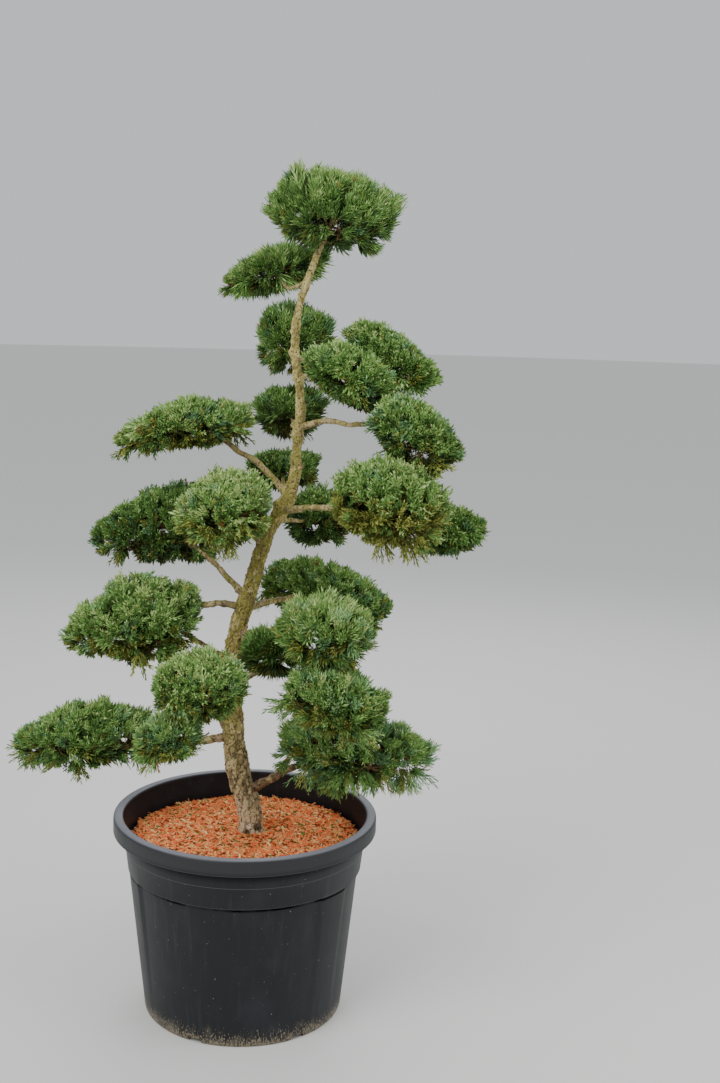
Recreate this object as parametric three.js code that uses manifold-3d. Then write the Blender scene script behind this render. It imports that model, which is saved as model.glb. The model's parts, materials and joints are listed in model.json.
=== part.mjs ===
import * as THREE from "three";
import { mergeVertices } from "three/addons/utils/BufferGeometryUtils.js";
import Module from "manifold-3d";

// A juniper trained as a cloud-pruned bonsai, standing in its round black pot.
// Millimetres, +Z up, -Y to the front. The origin is the middle of the pot's underside.

const FIT = 0.3; // gap between two pieces that touch

// Pot: a tapered tub with a rolled lip, a banded shoulder and three wide recessed panels
const POT_HEIGHT = 476;
const POT_SIDES = 48;
const BASE_RADIUS = 235;
const SHOULDER_RADIUS = 284;
const RIM_RADIUS = 310;
const LIP_HEIGHT = 38;
const LIP_ROUND = 14;
const LIP_STEPS = 6;
const WALL = 5;
const FLOOR = 12;
const BAND_HEIGHT = 400;
const LEDGE_HEIGHT = 349;
const BAND_STEP = 1.5;
const STEP_RUN = 3;
const PANEL_COUNT = 3;
const PANEL_DEPTH = 5;
const RIB_SHARE = 0.16;
const FIRST_RIB = THREE.MathUtils.degToRad(-157);
const NOTCH_COUNT = 6;
const NOTCH_WIDTH = 33;
const NOTCH_HEIGHT = 10;
const NOTCH_INNER_RADIUS = 226;
const FIRST_NOTCH = THREE.MathUtils.degToRad(-113);

// Soil, topped with bark mulch
const SOIL_LEVEL = 418;

// Trunk: [x, y, height, radius] from the flat cut on the soil up to the tip
const TRUNK_STATIONS = [
  [15, -6, 396, 25],
  [9, -3, 484, 27],
  [-19, 3, 568, 27],
  [-30, 5, 640, 25],
  [-34, 4, 745, 21.5],
  [-31, 0, 875, 19.5],
  [-20, -5, 940, 20],
  [2, -8, 1012, 18],
  [43, 0, 1150, 16],
  [82, 7, 1216, 17],
  [98, 5, 1268, 13.5],
  [103, 0, 1338, 11.5],
  [110, -5, 1450, 10.7],
  [95, 5, 1570, 10],
  [102, 0, 1656, 8],
  [140, 0, 1778, 7.5],
];
const TRUNK_SIDES = 14;
const TRUNK_RINGS = 34;
const HEIGHT_SEARCH_STEPS = 30;
const CUT_BLOCK = 200; // side of the block that cuts the trunk's foot flat
const FLARE = 0.16;
const FLARE_HEIGHT = 30;
const ROOT_LOBES = 5;
const ROOT_LOBE_DEPTH = 0.12;

// Boughs
const BOUGH_SIDES = 6;
const BOUGH_RINGS = 6;
const STEM_RINGS = 3;
const ENTRY_STEP = 0.005;
const BOUGH_TAPER = 0.45;
const COLLAR = 0.4;
const COLLAR_SHARE = 0.08;

// Foliage: every mass is a pad, a closed core with toothed sprays standing out of it
const TUFT = 19; // depth of the core's surface within a mass's outline
const SPRAY_OUT = 10; // how far the sprays' tips stand out of that outline
const ENTRY_MARGIN = 8; // a bough ends this far outside the core
const TOP_POWER = 2.5;
const DOME_POWER = 2.1;
const FAN_POWER = 1.55;
const BUMP_COUNT = 9;
const BUMP_SHARPNESS = 14;
const BUMP_DEPTH = 0.16;
const BUMP_MEAN = 0.4;
const CORE_DETAIL = 2;
const RIPPLE = 9;
const CORE_ROUGHNESS = 7; // how far a corner of the core lies in or out of its smooth shape
const SPRAYS_PER_SQUARE_METRE = 60;
const SPRAY_LENGTH = 92;
const SPRAY_REACH = 0.8; // longest spray, as a share of the way from the mass's middle to its tip
const SPRAY_LIFT = 0.4;
const OWN_SHARE = 1.03; // how far a spray may reach, as a share of its mass's space
const LIMB_CLEARANCE = 9;
const BALLS_PER_LIMB = 40;
const TWIG_RADIUS = 3.5;
const TWIG_SIDES = 3;
const TWIG_END = 0.3; // how far a twig runs into its spray, as a share of the spray's length
const GOLDEN_ANGLE = Math.PI * (3 - Math.sqrt(5));

// Outline of one side of a spray, as shares of its length: teeth and the notches between them
const SPRAY_TEETH = [
  [0.5, 0.05],
  [0.78, 0.27],
  [0.73, 0.1],
];
const SPRAY_HEART = 0.66;
const SPRAY_THICKNESS = 0.14;

// Each mass: middle, half sizes along, across and up, tilt in degrees that lifts the +X end,
// and arch in mm that its two ends droop. A nose is the share by which it narrows towards its
// +X end, or where negative towards its -X end. Its bough leaves the trunk at the fork height,
// or another bough at a share of its length, and bows away from a straight line. The crown has
// no bough, only a stem on the trunk's tip.
const MASSES = [
  { place: "crown", middle: [174, 0, 1858], half: [152, 122, 102], tilt: -8, fan: true,
    onTip: true, radius: 7.5 },
  { place: "upper_left", middle: [34, 130, 1736], half: [136, 80, 50], tilt: 17, arch: 8,
    nose: -0.5, fork: 1722, bow: [0, 0, -50], radius: 5 },
  { place: "upper_back", middle: [87, 150, 1578], half: [96, 84, 88], tilt: 0, arch: 0,
    fork: 1560, bow: [0, 0, -12], radius: 5 },
  { place: "middle_back", middle: [74, 200, 1407], half: [96, 84, 60], tilt: 5, arch: 0,
    fork: 1372, bow: [0, 0, -10], radius: 5.5 },
  { place: "centre_back", middle: [60, 230, 1263], half: [92, 84, 52], tilt: 4, arch: 0,
    fork: 1205, bow: [0, 0, 10], radius: 6.5 },
  { place: "high_left", middle: [-164, 40, 1382], half: [172, 98, 66], tilt: 12, arch: 24,
    nose: -0.5, fork: 1232, bow: [0, 20, 50], radius: 8 },
  { place: "middle_left_back", middle: [-219, 170, 1124], half: [184, 106, 104], tilt: 10, arch: 6,
    nose: -0.5, fork: 990, bow: [20, 30, 10], radius: 8 },
  { place: "middle_left", middle: [-52, -96, 1208], half: [120, 94, 92], tilt: 16, arch: 8,
    nose: -0.25, fork: 1120, bow: [0, -20, 6], radius: 7 },
  { place: "low_left", middle: [-262, -40, 935], half: [170, 116, 110], tilt: 12, arch: 6,
    nose: -0.55, fork: 968, bow: [0, 0, 55], radius: 8 },
  { place: "front", middle: [-81, -290, 854], half: [112, 98, 82], tilt: 4, arch: 6,
    fork: 768, bow: [0, 0, 24], radius: 8 },
  { place: "front_low", middle: [-146, -262, 732], half: [80, 72, 54], tilt: 18, arch: 4,
    from: "front", share: 0.4, bow: [0, 0, -6], radius: 4.5 },
  { place: "lowest_left", middle: [-386, -30, 656], half: [174, 104, 80], tilt: 9, arch: 8,
    nose: -0.5, fork: 660, bow: [0, 0, -46], radius: 9 },
  { place: "high_right_back", middle: [315, 130, 1542], half: [130, 86, 64], tilt: -32, arch: 0,
    nose: 0.25, fork: 1500, bow: [0, 0, 26], radius: 6 },
  { place: "high_right", middle: [222, -118, 1511], half: [114, 86, 66], tilt: -27, arch: 6,
    fork: 1545, bow: [0, 0, 14], radius: 6 },
  { place: "high_right_tip", middle: [364, -172, 1390], half: [114, 91, 77], tilt: -37, arch: 0,
    fork: 1390, bow: [0, 0, 45], radius: 7 },
  { place: "middle_right_back", middle: [153, 170, 1157], half: [87, 78, 76], tilt: 0, arch: 0,
    fork: 1172, bow: [0, 0, -6], radius: 6 },
  { place: "middle_right", middle: [314, -226, 1252], half: [136, 102, 98], tilt: -12, arch: 10,
    fork: 1200, bow: [0, 0, 0], radius: 8 },
  { place: "middle_right_tip", middle: [456, -46, 1166], half: [90, 82, 62], tilt: 8, arch: 0,
    nose: 0.45, from: "middle_right", share: 0.4, bow: [0, 0, -6], radius: 5 },
  { place: "low_right_back", middle: [170, 230, 953], half: [172, 106, 84], tilt: -18, arch: 8,
    fork: 966, bow: [0, 0, 18], radius: 8 },
  { place: "low_right", middle: [184, -236, 968], half: [112, 92, 80], tilt: -10, arch: 4,
    fork: 905, bow: [0, 0, 22], radius: 7 },
  { place: "low_right_inner", middle: [62, -138, 898], half: [70, 56, 56], tilt: 0, arch: 0,
    fork: 862, bow: [0, 0, 4], radius: 5 },
  { place: "low_right_tip", middle: [208, -262, 822], half: [122, 94, 82], tilt: -20, arch: 0,
    fork: 782, bow: [0, 50, 90], radius: 8 },
  { place: "lowest_right", middle: [254, -70, 660], half: [186, 112, 92], tilt: -5, arch: 10,
    nose: 0.35, fork: 522, bow: [0, 0, 24], radius: 10.5 },
  { place: "back_low_left", middle: [-147, 250, 704], half: [104, 96, 68], tilt: 6, arch: 4,
    nose: -0.3, fork: 640, bow: [0, 0, 20], radius: 8 },
  { place: "back_low_right", middle: [201, 240, 692], half: [106, 98, 64], tilt: -6, arch: 4,
    nose: 0.3, from: "lowest_right", share: 0.3, bow: [0, 0, 10], radius: 6.5 },
];

// A second bough that comes up from below into the low left mass
const SECOND_BOUGHS = [
  { place: "low_left", fork: 838, bow: [0, -24, 40], radius: 7 },
];

const wasm = await Module();
wasm.setup();

// Numbers from 0 to 1 that are the same on every run for the same seed.
function seededRandom(seed) {
  let state = seed >>> 0;
  return () => {
    state = (Math.imul(state, 1664525) + 1013904223) >>> 0;
    return state / 2 ** 32;
  };
}

// The i-th of count directions, spread evenly over a sphere along a golden spiral.
function spiralDirection(i, count, turn) {
  const up = 1 - (2 * i + 1) / count;
  const flat = Math.sqrt(1 - up * up);
  const angle = i * GOLDEN_ANGLE + turn;
  return new THREE.Vector3(flat * Math.cos(angle), flat * Math.sin(angle), up);
}

// A wave over the ball of directions, from -1 to 1.
function ripple(ball) {
  return Math.sin(RIPPLE * ball.x) * Math.sin(RIPPLE * ball.y + 1) * Math.sin(RIPPLE * ball.z + 2);
}

// A closed three.js geometry as a solid that can be joined and cut.
function solidOf(geometry) {
  const bare = geometry.clone();
  bare.deleteAttribute("normal");
  bare.deleteAttribute("uv");
  const merged = mergeVertices(bare, 1e-3);
  return new wasm.Manifold(new wasm.Mesh({
    numProp: 3,
    vertProperties: new Float32Array(merged.attributes.position.array),
    triVerts: new Uint32Array(merged.index.array),
  }));
}

// A solid's surface as a three.js geometry.
function geometryOf(solid) {
  const surface = solid.getMesh();
  const geometry = new THREE.BufferGeometry();
  geometry.setAttribute("position", new THREE.BufferAttribute(surface.vertProperties, 3));
  geometry.setIndex(new THREE.BufferAttribute(surface.triVerts, 1));
  geometry.computeVertexNormals();
  return geometry;
}

// The tapered body's radius at a height, without its steps.
function bodyRadius(height) {
  const share = height / (POT_HEIGHT - LIP_HEIGHT);
  return THREE.MathUtils.lerp(BASE_RADIUS, SHOULDER_RADIUS, share);
}

// How deep a panel is at an angle round the pot, from 0 on a rib to 1 between two ribs.
function panelShare(angle) {
  const turns = ((angle - FIRST_RIB) / (2 * Math.PI)) * PANEL_COUNT;
  const fromRib = Math.abs(turns - Math.round(turns)) * 2;
  return THREE.MathUtils.smoothstep(fromRib, RIB_SHARE / 2, RIB_SHARE * 1.5);
}

function makePot() {
  const lipBottom = POT_HEIGHT - LIP_HEIGHT;
  const band = bodyRadius(lipBottom) + 2 * BAND_STEP;
  const insideTop = SHOULDER_RADIUS + BAND_STEP;
  const lipMiddle = (RIM_RADIUS + insideTop) / 2;
  const lipHalf = (RIM_RADIUS - insideTop) / 2;
  const profile = [
    [0, 0],
    [BASE_RADIUS - STEP_RUN, 0],
    [BASE_RADIUS, STEP_RUN],
    [bodyRadius(LEDGE_HEIGHT - STEP_RUN), LEDGE_HEIGHT - STEP_RUN],
    [bodyRadius(LEDGE_HEIGHT) + BAND_STEP, LEDGE_HEIGHT],
    [bodyRadius(BAND_HEIGHT) + BAND_STEP, BAND_HEIGHT - STEP_RUN],
    [bodyRadius(BAND_HEIGHT) + 2 * BAND_STEP, BAND_HEIGHT],
    [band, lipBottom],
    [RIM_RADIUS - STEP_RUN, lipBottom],
    [RIM_RADIUS, lipBottom + STEP_RUN],
  ];
  const panelTop = 3; // index of the point under the ledge, where the panels are deepest
  for (let i = 0; i <= LIP_STEPS; i++) {
    const angle = (Math.PI * i) / LIP_STEPS;
    const radius = lipMiddle + lipHalf * Math.cos(angle);
    profile.push([radius, POT_HEIGHT - LIP_ROUND + LIP_ROUND * Math.sin(angle)]);
  }
  profile.push([bodyRadius(lipBottom) - WALL, lipBottom]);
  profile.push([bodyRadius(FLOOR) - WALL, FLOOR]);
  profile.push([0, FLOOR]);

  const points = profile.map(([radius, height]) => new THREE.Vector2(radius, height));
  const lathe = new THREE.LatheGeometry(points, POT_SIDES);
  lathe.rotateX(Math.PI / 2);
  const position = lathe.attributes.position;
  for (let side = 0; side <= POT_SIDES; side++) {
    const vertex = side * points.length + panelTop;
    const x = position.getX(vertex);
    const y = position.getY(vertex);
    const radius = Math.hypot(x, y);
    const sunk = 1 - (PANEL_DEPTH * panelShare(Math.atan2(y, x))) / radius;
    position.setXY(vertex, x * sunk, y * sunk);
  }

  let pot = solidOf(lathe);
  const notchRun = BASE_RADIUS + STEP_RUN - NOTCH_INNER_RADIUS;
  for (let i = 0; i < NOTCH_COUNT; i++) {
    const notch = new THREE.BoxGeometry(notchRun, NOTCH_WIDTH, 2 * NOTCH_HEIGHT);
    notch.translate(NOTCH_INNER_RADIUS + notchRun / 2, 0, 0);
    notch.rotateZ(FIRST_NOTCH + (2 * Math.PI * i) / NOTCH_COUNT);
    pot = pot.subtract(solidOf(notch));
  }
  return pot;
}

function makeSoil() {
  const bottom = FLOOR + FIT;
  const lipBottom = POT_HEIGHT - LIP_HEIGHT;
  const inside = (height) => {
    const share = (height - FLOOR) / (lipBottom - FLOOR);
    return THREE.MathUtils.lerp(bodyRadius(FLOOR), bodyRadius(lipBottom), share) - WALL - 2 * FIT;
  };
  const profile = [
    [0, bottom],
    [inside(bottom), bottom],
    [inside(SOIL_LEVEL), SOIL_LEVEL],
    [0, SOIL_LEVEL],
  ];
  const points = profile.map(([radius, height]) => new THREE.Vector2(radius, height));
  const lathe = new THREE.LatheGeometry(points, POT_SIDES);
  lathe.rotateX(Math.PI / 2);
  return solidOf(lathe);
}

// Of the X and Y axes, the one that lies further from a direction.
function steepestAxis(direction) {
  const alongX = Math.abs(direction.x) > Math.abs(direction.y);
  return alongX ? new THREE.Vector3(0, 1, 0) : new THREE.Vector3(1, 0, 0);
}

// A cylinder bent along part of a curve. Its radius is a function of the place on the curve
// and of the angle round it. The frame is carried from ring to ring, so the limb doesn't twist.
function limbGeometry(curve, from, to, rings, sides, radiusAt) {
  const frames = [];
  let side = steepestAxis(curve.getTangent(from));
  for (let i = 0; i <= rings; i++) {
    const share = from + ((to - from) * i) / rings;
    const tangent = curve.getTangent(share);
    side = side.clone().addScaledVector(tangent, -side.dot(tangent)).normalize();
    const across = side.clone().cross(tangent);
    frames.push({ share, point: curve.getPoint(share), side, across });
  }
  const cylinder = new THREE.CylinderGeometry(1, 1, 1, sides, rings);
  const position = cylinder.attributes.position;
  for (let i = 0; i < position.count; i++) {
    const x = position.getX(i);
    const z = position.getZ(i);
    const frame = frames[Math.round((position.getY(i) + 0.5) * rings)];
    const radius = radiusAt(frame.share, Math.atan2(z, x), frame.point);
    const place = frame.point.clone();
    place.addScaledVector(frame.side, x * radius).addScaledVector(frame.across, z * radius);
    position.setXYZ(i, place.x, place.y, place.z);
  }
  return cylinder;
}

const trunkCurve = new THREE.CatmullRomCurve3(
  TRUNK_STATIONS.map(([x, y, height]) => new THREE.Vector3(x, y, height)),
);

// The trunk's radius at a height, between the two stations next to it.
function trunkRadius(height) {
  const last = TRUNK_STATIONS.length - 1;
  let above = 1;
  while (above < last && TRUNK_STATIONS[above][2] < height) above++;
  const [, , lowHeight, lowRadius] = TRUNK_STATIONS[above - 1];
  const [, , highHeight, highRadius] = TRUNK_STATIONS[above];
  const share = THREE.MathUtils.clamp((height - lowHeight) / (highHeight - lowHeight), 0, 1);
  return THREE.MathUtils.lerp(lowRadius, highRadius, share);
}

// The place on the trunk's middle line at a height, which rises all the way.
function trunkShareAt(height) {
  let low = 0;
  let high = 1;
  for (let i = 0; i < HEIGHT_SEARCH_STEPS; i++) {
    const middle = (low + high) / 2;
    if (trunkCurve.getPoint(middle).z < height) low = middle;
    else high = middle;
  }
  return low;
}

// The trunk with its root flare, made wider by a clearance where something is cut round it.
function makeTrunk(clearance) {
  const radiusAt = (share, angle, point) => {
    const nearFoot = Math.exp(-Math.max(0, point.z - SOIL_LEVEL) / FLARE_HEIGHT);
    const lobes = 1 + ROOT_LOBE_DEPTH * Math.cos(ROOT_LOBES * angle);
    return trunkRadius(point.z) * (1 + FLARE * nearFoot * lobes) + clearance;
  };
  const limb = limbGeometry(trunkCurve, 0, 1, TRUNK_RINGS, TRUNK_SIDES, radiusAt);
  const belowCut = new THREE.BoxGeometry(CUT_BLOCK, CUT_BLOCK, CUT_BLOCK);
  belowCut.translate(0, 0, SOIL_LEVEL + FIT - CUT_BLOCK / 2);
  return solidOf(limb).subtract(solidOf(belowCut));
}

const trunkWithGap = makeTrunk(FIT);

// The space that one mass of foliage fills. A ball is stretched to the mass's half sizes,
// squared off a little, made lumpy by seeded bumps, narrowed towards its nose, arched, tilted
// and moved to its place.
class Mass {
  constructor(row, index) {
    this.place = row.place;
    this.middle = new THREE.Vector3(...row.middle);
    this.half = new THREE.Vector3(...row.half);
    this.arch = row.arch ?? 0;
    this.nose = row.nose ?? 0;
    this.underPower = row.fan ? FAN_POWER : DOME_POWER;
    this.random = seededRandom(index + 1);
    this.tilt = new THREE.Quaternion().setFromAxisAngle(
      new THREE.Vector3(0, 1, 0), -THREE.MathUtils.degToRad(row.tilt));
    this.bumps = [];
    const turn = this.random() * 2 * Math.PI;
    for (let i = 0; i < BUMP_COUNT; i++) this.bumps.push(spiralDirection(i, BUMP_COUNT, turn));
  }

  // How far the shape goes out along a unit direction of the ball.
  outline(ball) {
    const power = ball.z < 0 ? this.underPower : TOP_POWER;
    const flat = Math.hypot(ball.x, ball.y);
    const squared = (flat ** power + Math.abs(ball.z) ** power) ** (-1 / power);
    let bump = 0;
    for (const top of this.bumps) bump += Math.max(0, ball.dot(top)) ** BUMP_SHARPNESS;
    return squared * (1 + BUMP_DEPTH * (Math.min(1, bump) - BUMP_MEAN));
  }

  // The share of its width and height that the mass keeps at a distance along it.
  girthAt(along) {
    const towardsNose = (Math.sign(this.nose) * along) / this.half.x;
    return 1 - Math.abs(this.nose) * THREE.MathUtils.clamp(towardsNose, 0, 1);
  }

  // The point in a direction of the ball, a depth in from the outline all round.
  pointAt(ball, depth) {
    const point = ball.clone().multiplyScalar(this.outline(ball));
    point.multiply(this.half.clone().subScalar(depth));
    const girth = this.girthAt(point.x);
    point.y *= girth;
    point.z *= girth;
    point.z -= this.arch * (point.x / this.half.x) ** 2;
    return point.applyQuaternion(this.tilt).add(this.middle);
  }

  // Under 1 where a point lies within the outline moved in by a depth.
  shareAt(point, depth) {
    const local = point.clone().sub(this.middle).applyQuaternion(this.tilt.clone().invert());
    local.z += this.arch * (local.x / this.half.x) ** 2;
    const girth = this.girthAt(local.x);
    local.y /= girth;
    local.z /= girth;
    local.divide(this.half.clone().subScalar(depth));
    const length = local.length();
    if (length === 0) return 0;
    return length / this.outline(local.divideScalar(length));
  }
}

const masses = MASSES.map((row, index) => new Mass(row, index));
const limbs = [];

// One limb from the trunk's middle line to the heart of its mass. Its bough is the part
// outside the mass, and its stem is the part inside.
class Limb {
  constructor(row, mass) {
    this.mass = mass;
    this.radius = row.radius;
    this.onTip = row.onTip === true;
    this.parent = limbs.find((limb) => limb.mass.place === row.from);
    let start = trunkCurve.getPoint(this.onTip ? 1 : trunkShareAt(row.fork));
    if (this.parent) start = this.parent.curve.getPoint(row.share);
    const bend = start.clone().lerp(mass.middle, 0.5);
    if (row.bow) bend.add(new THREE.Vector3(...row.bow));
    this.curve = new THREE.QuadraticBezierCurve3(start, bend, mass.middle);
    this.entry = 0;
    const inside = () => mass.shareAt(this.curve.getPoint(this.entry), TUFT - ENTRY_MARGIN) < 1;
    while (!this.onTip && !inside()) this.entry += ENTRY_STEP;
    this.length = this.curve.getLength();
  }

  radiusAt(share) {
    const collar = this.parent || this.onTip ? 1 : 1 + COLLAR * Math.exp(-share / COLLAR_SHARE);
    return this.radius * (1 - BOUGH_TAPER * share) * collar;
  }

  // The part of the limb that shows, grown by a clearance where something is cut round it.
  outside(clearance) {
    const end = this.entry + clearance / this.length;
    const geometry = limbGeometry(this.curve, 0, end, BOUGH_RINGS, BOUGH_SIDES,
      (share) => this.radiusAt(share) + clearance);
    return solidOf(geometry);
  }

  // The bough, from the bark of the trunk or of its parent bough to the mass.
  bough() {
    const carrier = this.parent ? this.parent.outside(FIT) : trunkWithGap;
    return this.outside(0).subtract(carrier);
  }

  // The stem that goes on from the bough's tip to the heart of the mass.
  stem() {
    const start = this.entry + FIT / this.length;
    const geometry = limbGeometry(this.curve, start, 1, STEM_RINGS, BOUGH_SIDES,
      (share) => this.radiusAt(share));
    return solidOf(geometry);
  }
}

for (const row of [...MASSES, ...SECOND_BOUGHS]) {
  limbs.push(new Limb(row, masses.find((mass) => mass.place === row.place)));
}

// Balls along every limb that shows, to keep sprays clear of them.
const limbBalls = [];
for (let i = 0; i <= 4 * BALLS_PER_LIMB; i++) {
  const point = trunkCurve.getPoint(i / (4 * BALLS_PER_LIMB));
  limbBalls.push({ point, radius: trunkRadius(point.z) + LIMB_CLEARANCE });
}
for (const limb of limbs) {
  for (let i = 0; i <= BALLS_PER_LIMB; i++) {
    const share = (limb.entry * i) / BALLS_PER_LIMB;
    const radius = limb.radiusAt(share) + LIMB_CLEARANCE;
    limbBalls.push({ point: limb.curve.getPoint(share), radius });
  }
}

// True where a spray's outline stays in its own mass and touches no limb.
function hasRoom(outline, own) {
  return outline.every((point) => {
    if (own.shareAt(point, -SPRAY_OUT) > OWN_SHARE) return false;
    if (masses.some((other) => other !== own && other.shareAt(point, -SPRAY_OUT) < 1)) return false;
    return limbBalls.every((ball) => ball.point.distanceTo(point) > ball.radius);
  });
}

// The outline of a spray from its root to its tip, opened out in a plane turned by a roll.
function sprayOutline(root, tip, roll) {
  const axis = tip.clone().sub(root);
  const length = axis.length();
  axis.divideScalar(length);
  const across = axis.clone().cross(steepestAxis(axis)).normalize().applyAxisAngle(axis, roll);
  const at = (along, aside) => root.clone()
    .addScaledVector(axis, along * length)
    .addScaledVector(across, aside * length);
  const outline = [root, ...SPRAY_TEETH.map(([along, aside]) => at(along, aside)), tip];
  for (const [along, aside] of SPRAY_TEETH.toReversed()) outline.push(at(along, -aside));
  const thick = across.clone().cross(axis).multiplyScalar((SPRAY_THICKNESS * length) / 2);
  const heart = at(SPRAY_HEART, 0);
  return { outline, front: heart.clone().add(thick), back: heart.clone().sub(thick) };
}

// A toothed blade, thickest at its heart and thin along its teeth.
function sprayGeometry({ outline, front, back }) {
  const corners = [...outline, front, back];
  const frontIndex = outline.length;
  const backIndex = outline.length + 1;
  const index = [];
  for (let i = 0; i < outline.length; i++) {
    const next = (i + 1) % outline.length;
    index.push(i, next, frontIndex, next, i, backIndex);
  }
  const geometry = new THREE.BufferGeometry().setFromPoints(corners);
  geometry.setIndex(index);
  return geometry;
}

// A thin three-sided twig that narrows towards its end.
function twigGeometry(from, to) {
  const line = new THREE.LineCurve3(from, to);
  return limbGeometry(line, 0, 1, 1, TWIG_SIDES, (share) => TWIG_RADIUS * (1 - share / 2));
}

// One mass: core, stems, and a twig with a spray for each direction of the spiral. The crown
// is cut clear of the trunk's tip.
function makeMass(mass) {
  const ball = new THREE.IcosahedronGeometry(1, CORE_DETAIL);
  const position = ball.attributes.position;
  for (let i = 0; i < position.count; i++) {
    const direction = new THREE.Vector3().fromBufferAttribute(position, i).normalize();
    const point = mass.pointAt(direction, TUFT + CORE_ROUGHNESS * ripple(direction));
    position.setXYZ(i, point.x, point.y, point.z);
  }
  let solid = solidOf(ball);
  for (const limb of limbs) {
    if (limb.mass !== mass) continue;
    if (!limb.onTip) solid = solid.subtract(limb.outside(FIT));
    solid = solid.add(limb.stem());
  }
  const { x, y, z } = mass.half;
  const area = (4 * Math.PI * (x * y + y * z + z * x)) / 3e6;
  const count = Math.round(area * SPRAYS_PER_SQUARE_METRE);
  const turn = mass.random() * 2 * Math.PI;
  for (let i = 0; i < count; i++) {
    const direction = spiralDirection(i, count, turn);
    const roll = mass.random() * Math.PI;
    const tip = mass.pointAt(direction, -SPRAY_OUT);
    const outward = direction.clone().divide(mass.half).normalize().applyQuaternion(mass.tilt);
    outward.z += SPRAY_LIFT;
    outward.normalize();
    const length = Math.min(SPRAY_LENGTH, SPRAY_REACH * tip.distanceTo(mass.middle));
    const root = tip.clone().addScaledVector(outward, -length);
    const spray = sprayOutline(root, tip, roll);
    if (!hasRoom(spray.outline, mass)) continue;
    const twigEnd = root.clone().lerp(tip, TWIG_END);
    solid = solid.add(solidOf(twigGeometry(mass.middle, twigEnd)));
    solid = solid.add(solidOf(sprayGeometry(spray)));
  }
  return solid.subtract(trunkWithGap);
}

const BLACK_PLASTIC = { color: "#26282d", roughness: 0.5 };
const BARK_MULCH = { color: "#b85c3c", roughness: 0.95 };
const TRUNK_BARK = { color: "#8f8454", roughness: 0.9 };
const BOUGH_BARK = { color: "#a08a70", roughness: 0.85 };
const NEEDLES = { color: "#3f7440", roughness: 0.7 };

const bonsai = new THREE.Group();

function addPiece(name, solid, look) {
  const material = new THREE.MeshStandardMaterial({ ...look, flatShading: true });
  const mesh = new THREE.Mesh(geometryOf(solid), material);
  mesh.name = name;
  bonsai.add(mesh);
}

addPiece("pot", makePot(), BLACK_PLASTIC);
addPiece("soil", makeSoil(), BARK_MULCH);
addPiece("trunk", makeTrunk(0), TRUNK_BARK);
const boughNames = new Set();
for (const limb of limbs) {
  if (limb.onTip) continue;
  const name = `bough_${limb.mass.place}`;
  addPiece(boughNames.has(name) ? `${name}_under` : name, limb.bough(), BOUGH_BARK);
  boughNames.add(name);
}
for (const mass of masses) addPiece(`foliage_${mass.place}`, makeMass(mass), NEEDLES);

export default bonsai;
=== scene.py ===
"""A juniper trained as a cloud-pruned bonsai, standing in its round black pot.

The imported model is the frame. Each of its nodes is replaced here by a finer piece: moulded
plastic for the pot, loose chips for the mulch, bark with relief for the trunk and boughs, and
twigs, needles and cones for every mass of foliage.
"""

import json
import math

import bmesh
import bpy
import numpy as np
from bpy.props import FloatProperty, FloatVectorProperty, IntProperty, PointerProperty
from bpy.types import NodeSocket, Operator, Panel, PropertyGroup
from mathutils import Matrix, Vector, noise

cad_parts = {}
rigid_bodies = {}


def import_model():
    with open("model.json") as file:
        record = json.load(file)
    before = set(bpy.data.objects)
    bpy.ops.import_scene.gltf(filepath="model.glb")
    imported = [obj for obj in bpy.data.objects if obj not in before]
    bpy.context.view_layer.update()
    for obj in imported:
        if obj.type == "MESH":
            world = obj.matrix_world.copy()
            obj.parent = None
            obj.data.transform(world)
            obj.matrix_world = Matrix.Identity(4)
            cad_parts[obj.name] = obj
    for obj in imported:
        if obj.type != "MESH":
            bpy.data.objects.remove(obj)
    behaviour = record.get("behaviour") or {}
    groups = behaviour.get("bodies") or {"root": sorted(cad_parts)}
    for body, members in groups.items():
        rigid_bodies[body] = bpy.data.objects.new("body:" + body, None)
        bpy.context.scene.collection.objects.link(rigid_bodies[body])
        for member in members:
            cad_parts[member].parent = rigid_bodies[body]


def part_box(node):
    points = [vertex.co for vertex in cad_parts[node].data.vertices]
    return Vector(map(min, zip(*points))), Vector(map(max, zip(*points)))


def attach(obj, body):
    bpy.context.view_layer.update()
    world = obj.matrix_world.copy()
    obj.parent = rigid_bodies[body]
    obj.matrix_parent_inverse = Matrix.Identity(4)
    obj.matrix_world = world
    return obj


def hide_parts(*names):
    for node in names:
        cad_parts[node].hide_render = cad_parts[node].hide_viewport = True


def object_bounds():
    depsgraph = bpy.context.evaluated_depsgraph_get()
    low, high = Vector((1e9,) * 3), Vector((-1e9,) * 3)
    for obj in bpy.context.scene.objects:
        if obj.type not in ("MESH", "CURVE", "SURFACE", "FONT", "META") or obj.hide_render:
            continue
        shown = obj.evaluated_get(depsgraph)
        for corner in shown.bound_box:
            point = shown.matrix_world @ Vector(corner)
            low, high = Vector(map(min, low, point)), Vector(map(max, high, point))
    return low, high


bl_info = {
    "name": "Potted Juniper Bonsai",
    "version": (1, 0, 0),
    "blender": (4, 5, 0),
    "location": "3D Viewport > Sidebar > Bonsai",
    "description": "Grows bark, twigs, needles and cones on a bonsai frame, with its pot and mulch",
    "category": "Object",
}

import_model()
CAD_LOW, CAD_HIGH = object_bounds()
POT_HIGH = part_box("pot")[1]
SOIL_LOW, SOIL_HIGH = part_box("soil")

BODY = "root"
MM = 0.001
GOLDEN_ANGLE = math.pi * (3 - math.sqrt(5))
NEARLY_UPRIGHT = 0.8

# Camera at the photograph's viewpoint, fitted to the pot's rim and base and to its upright
EYE = Vector((252.8, -3250.5, 1688.7)) * MM
LOOK_DOWN = math.radians(9.73)
ROLL = math.radians(-1.622)
SENSOR_WIDTH = 36  # in mm

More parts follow.
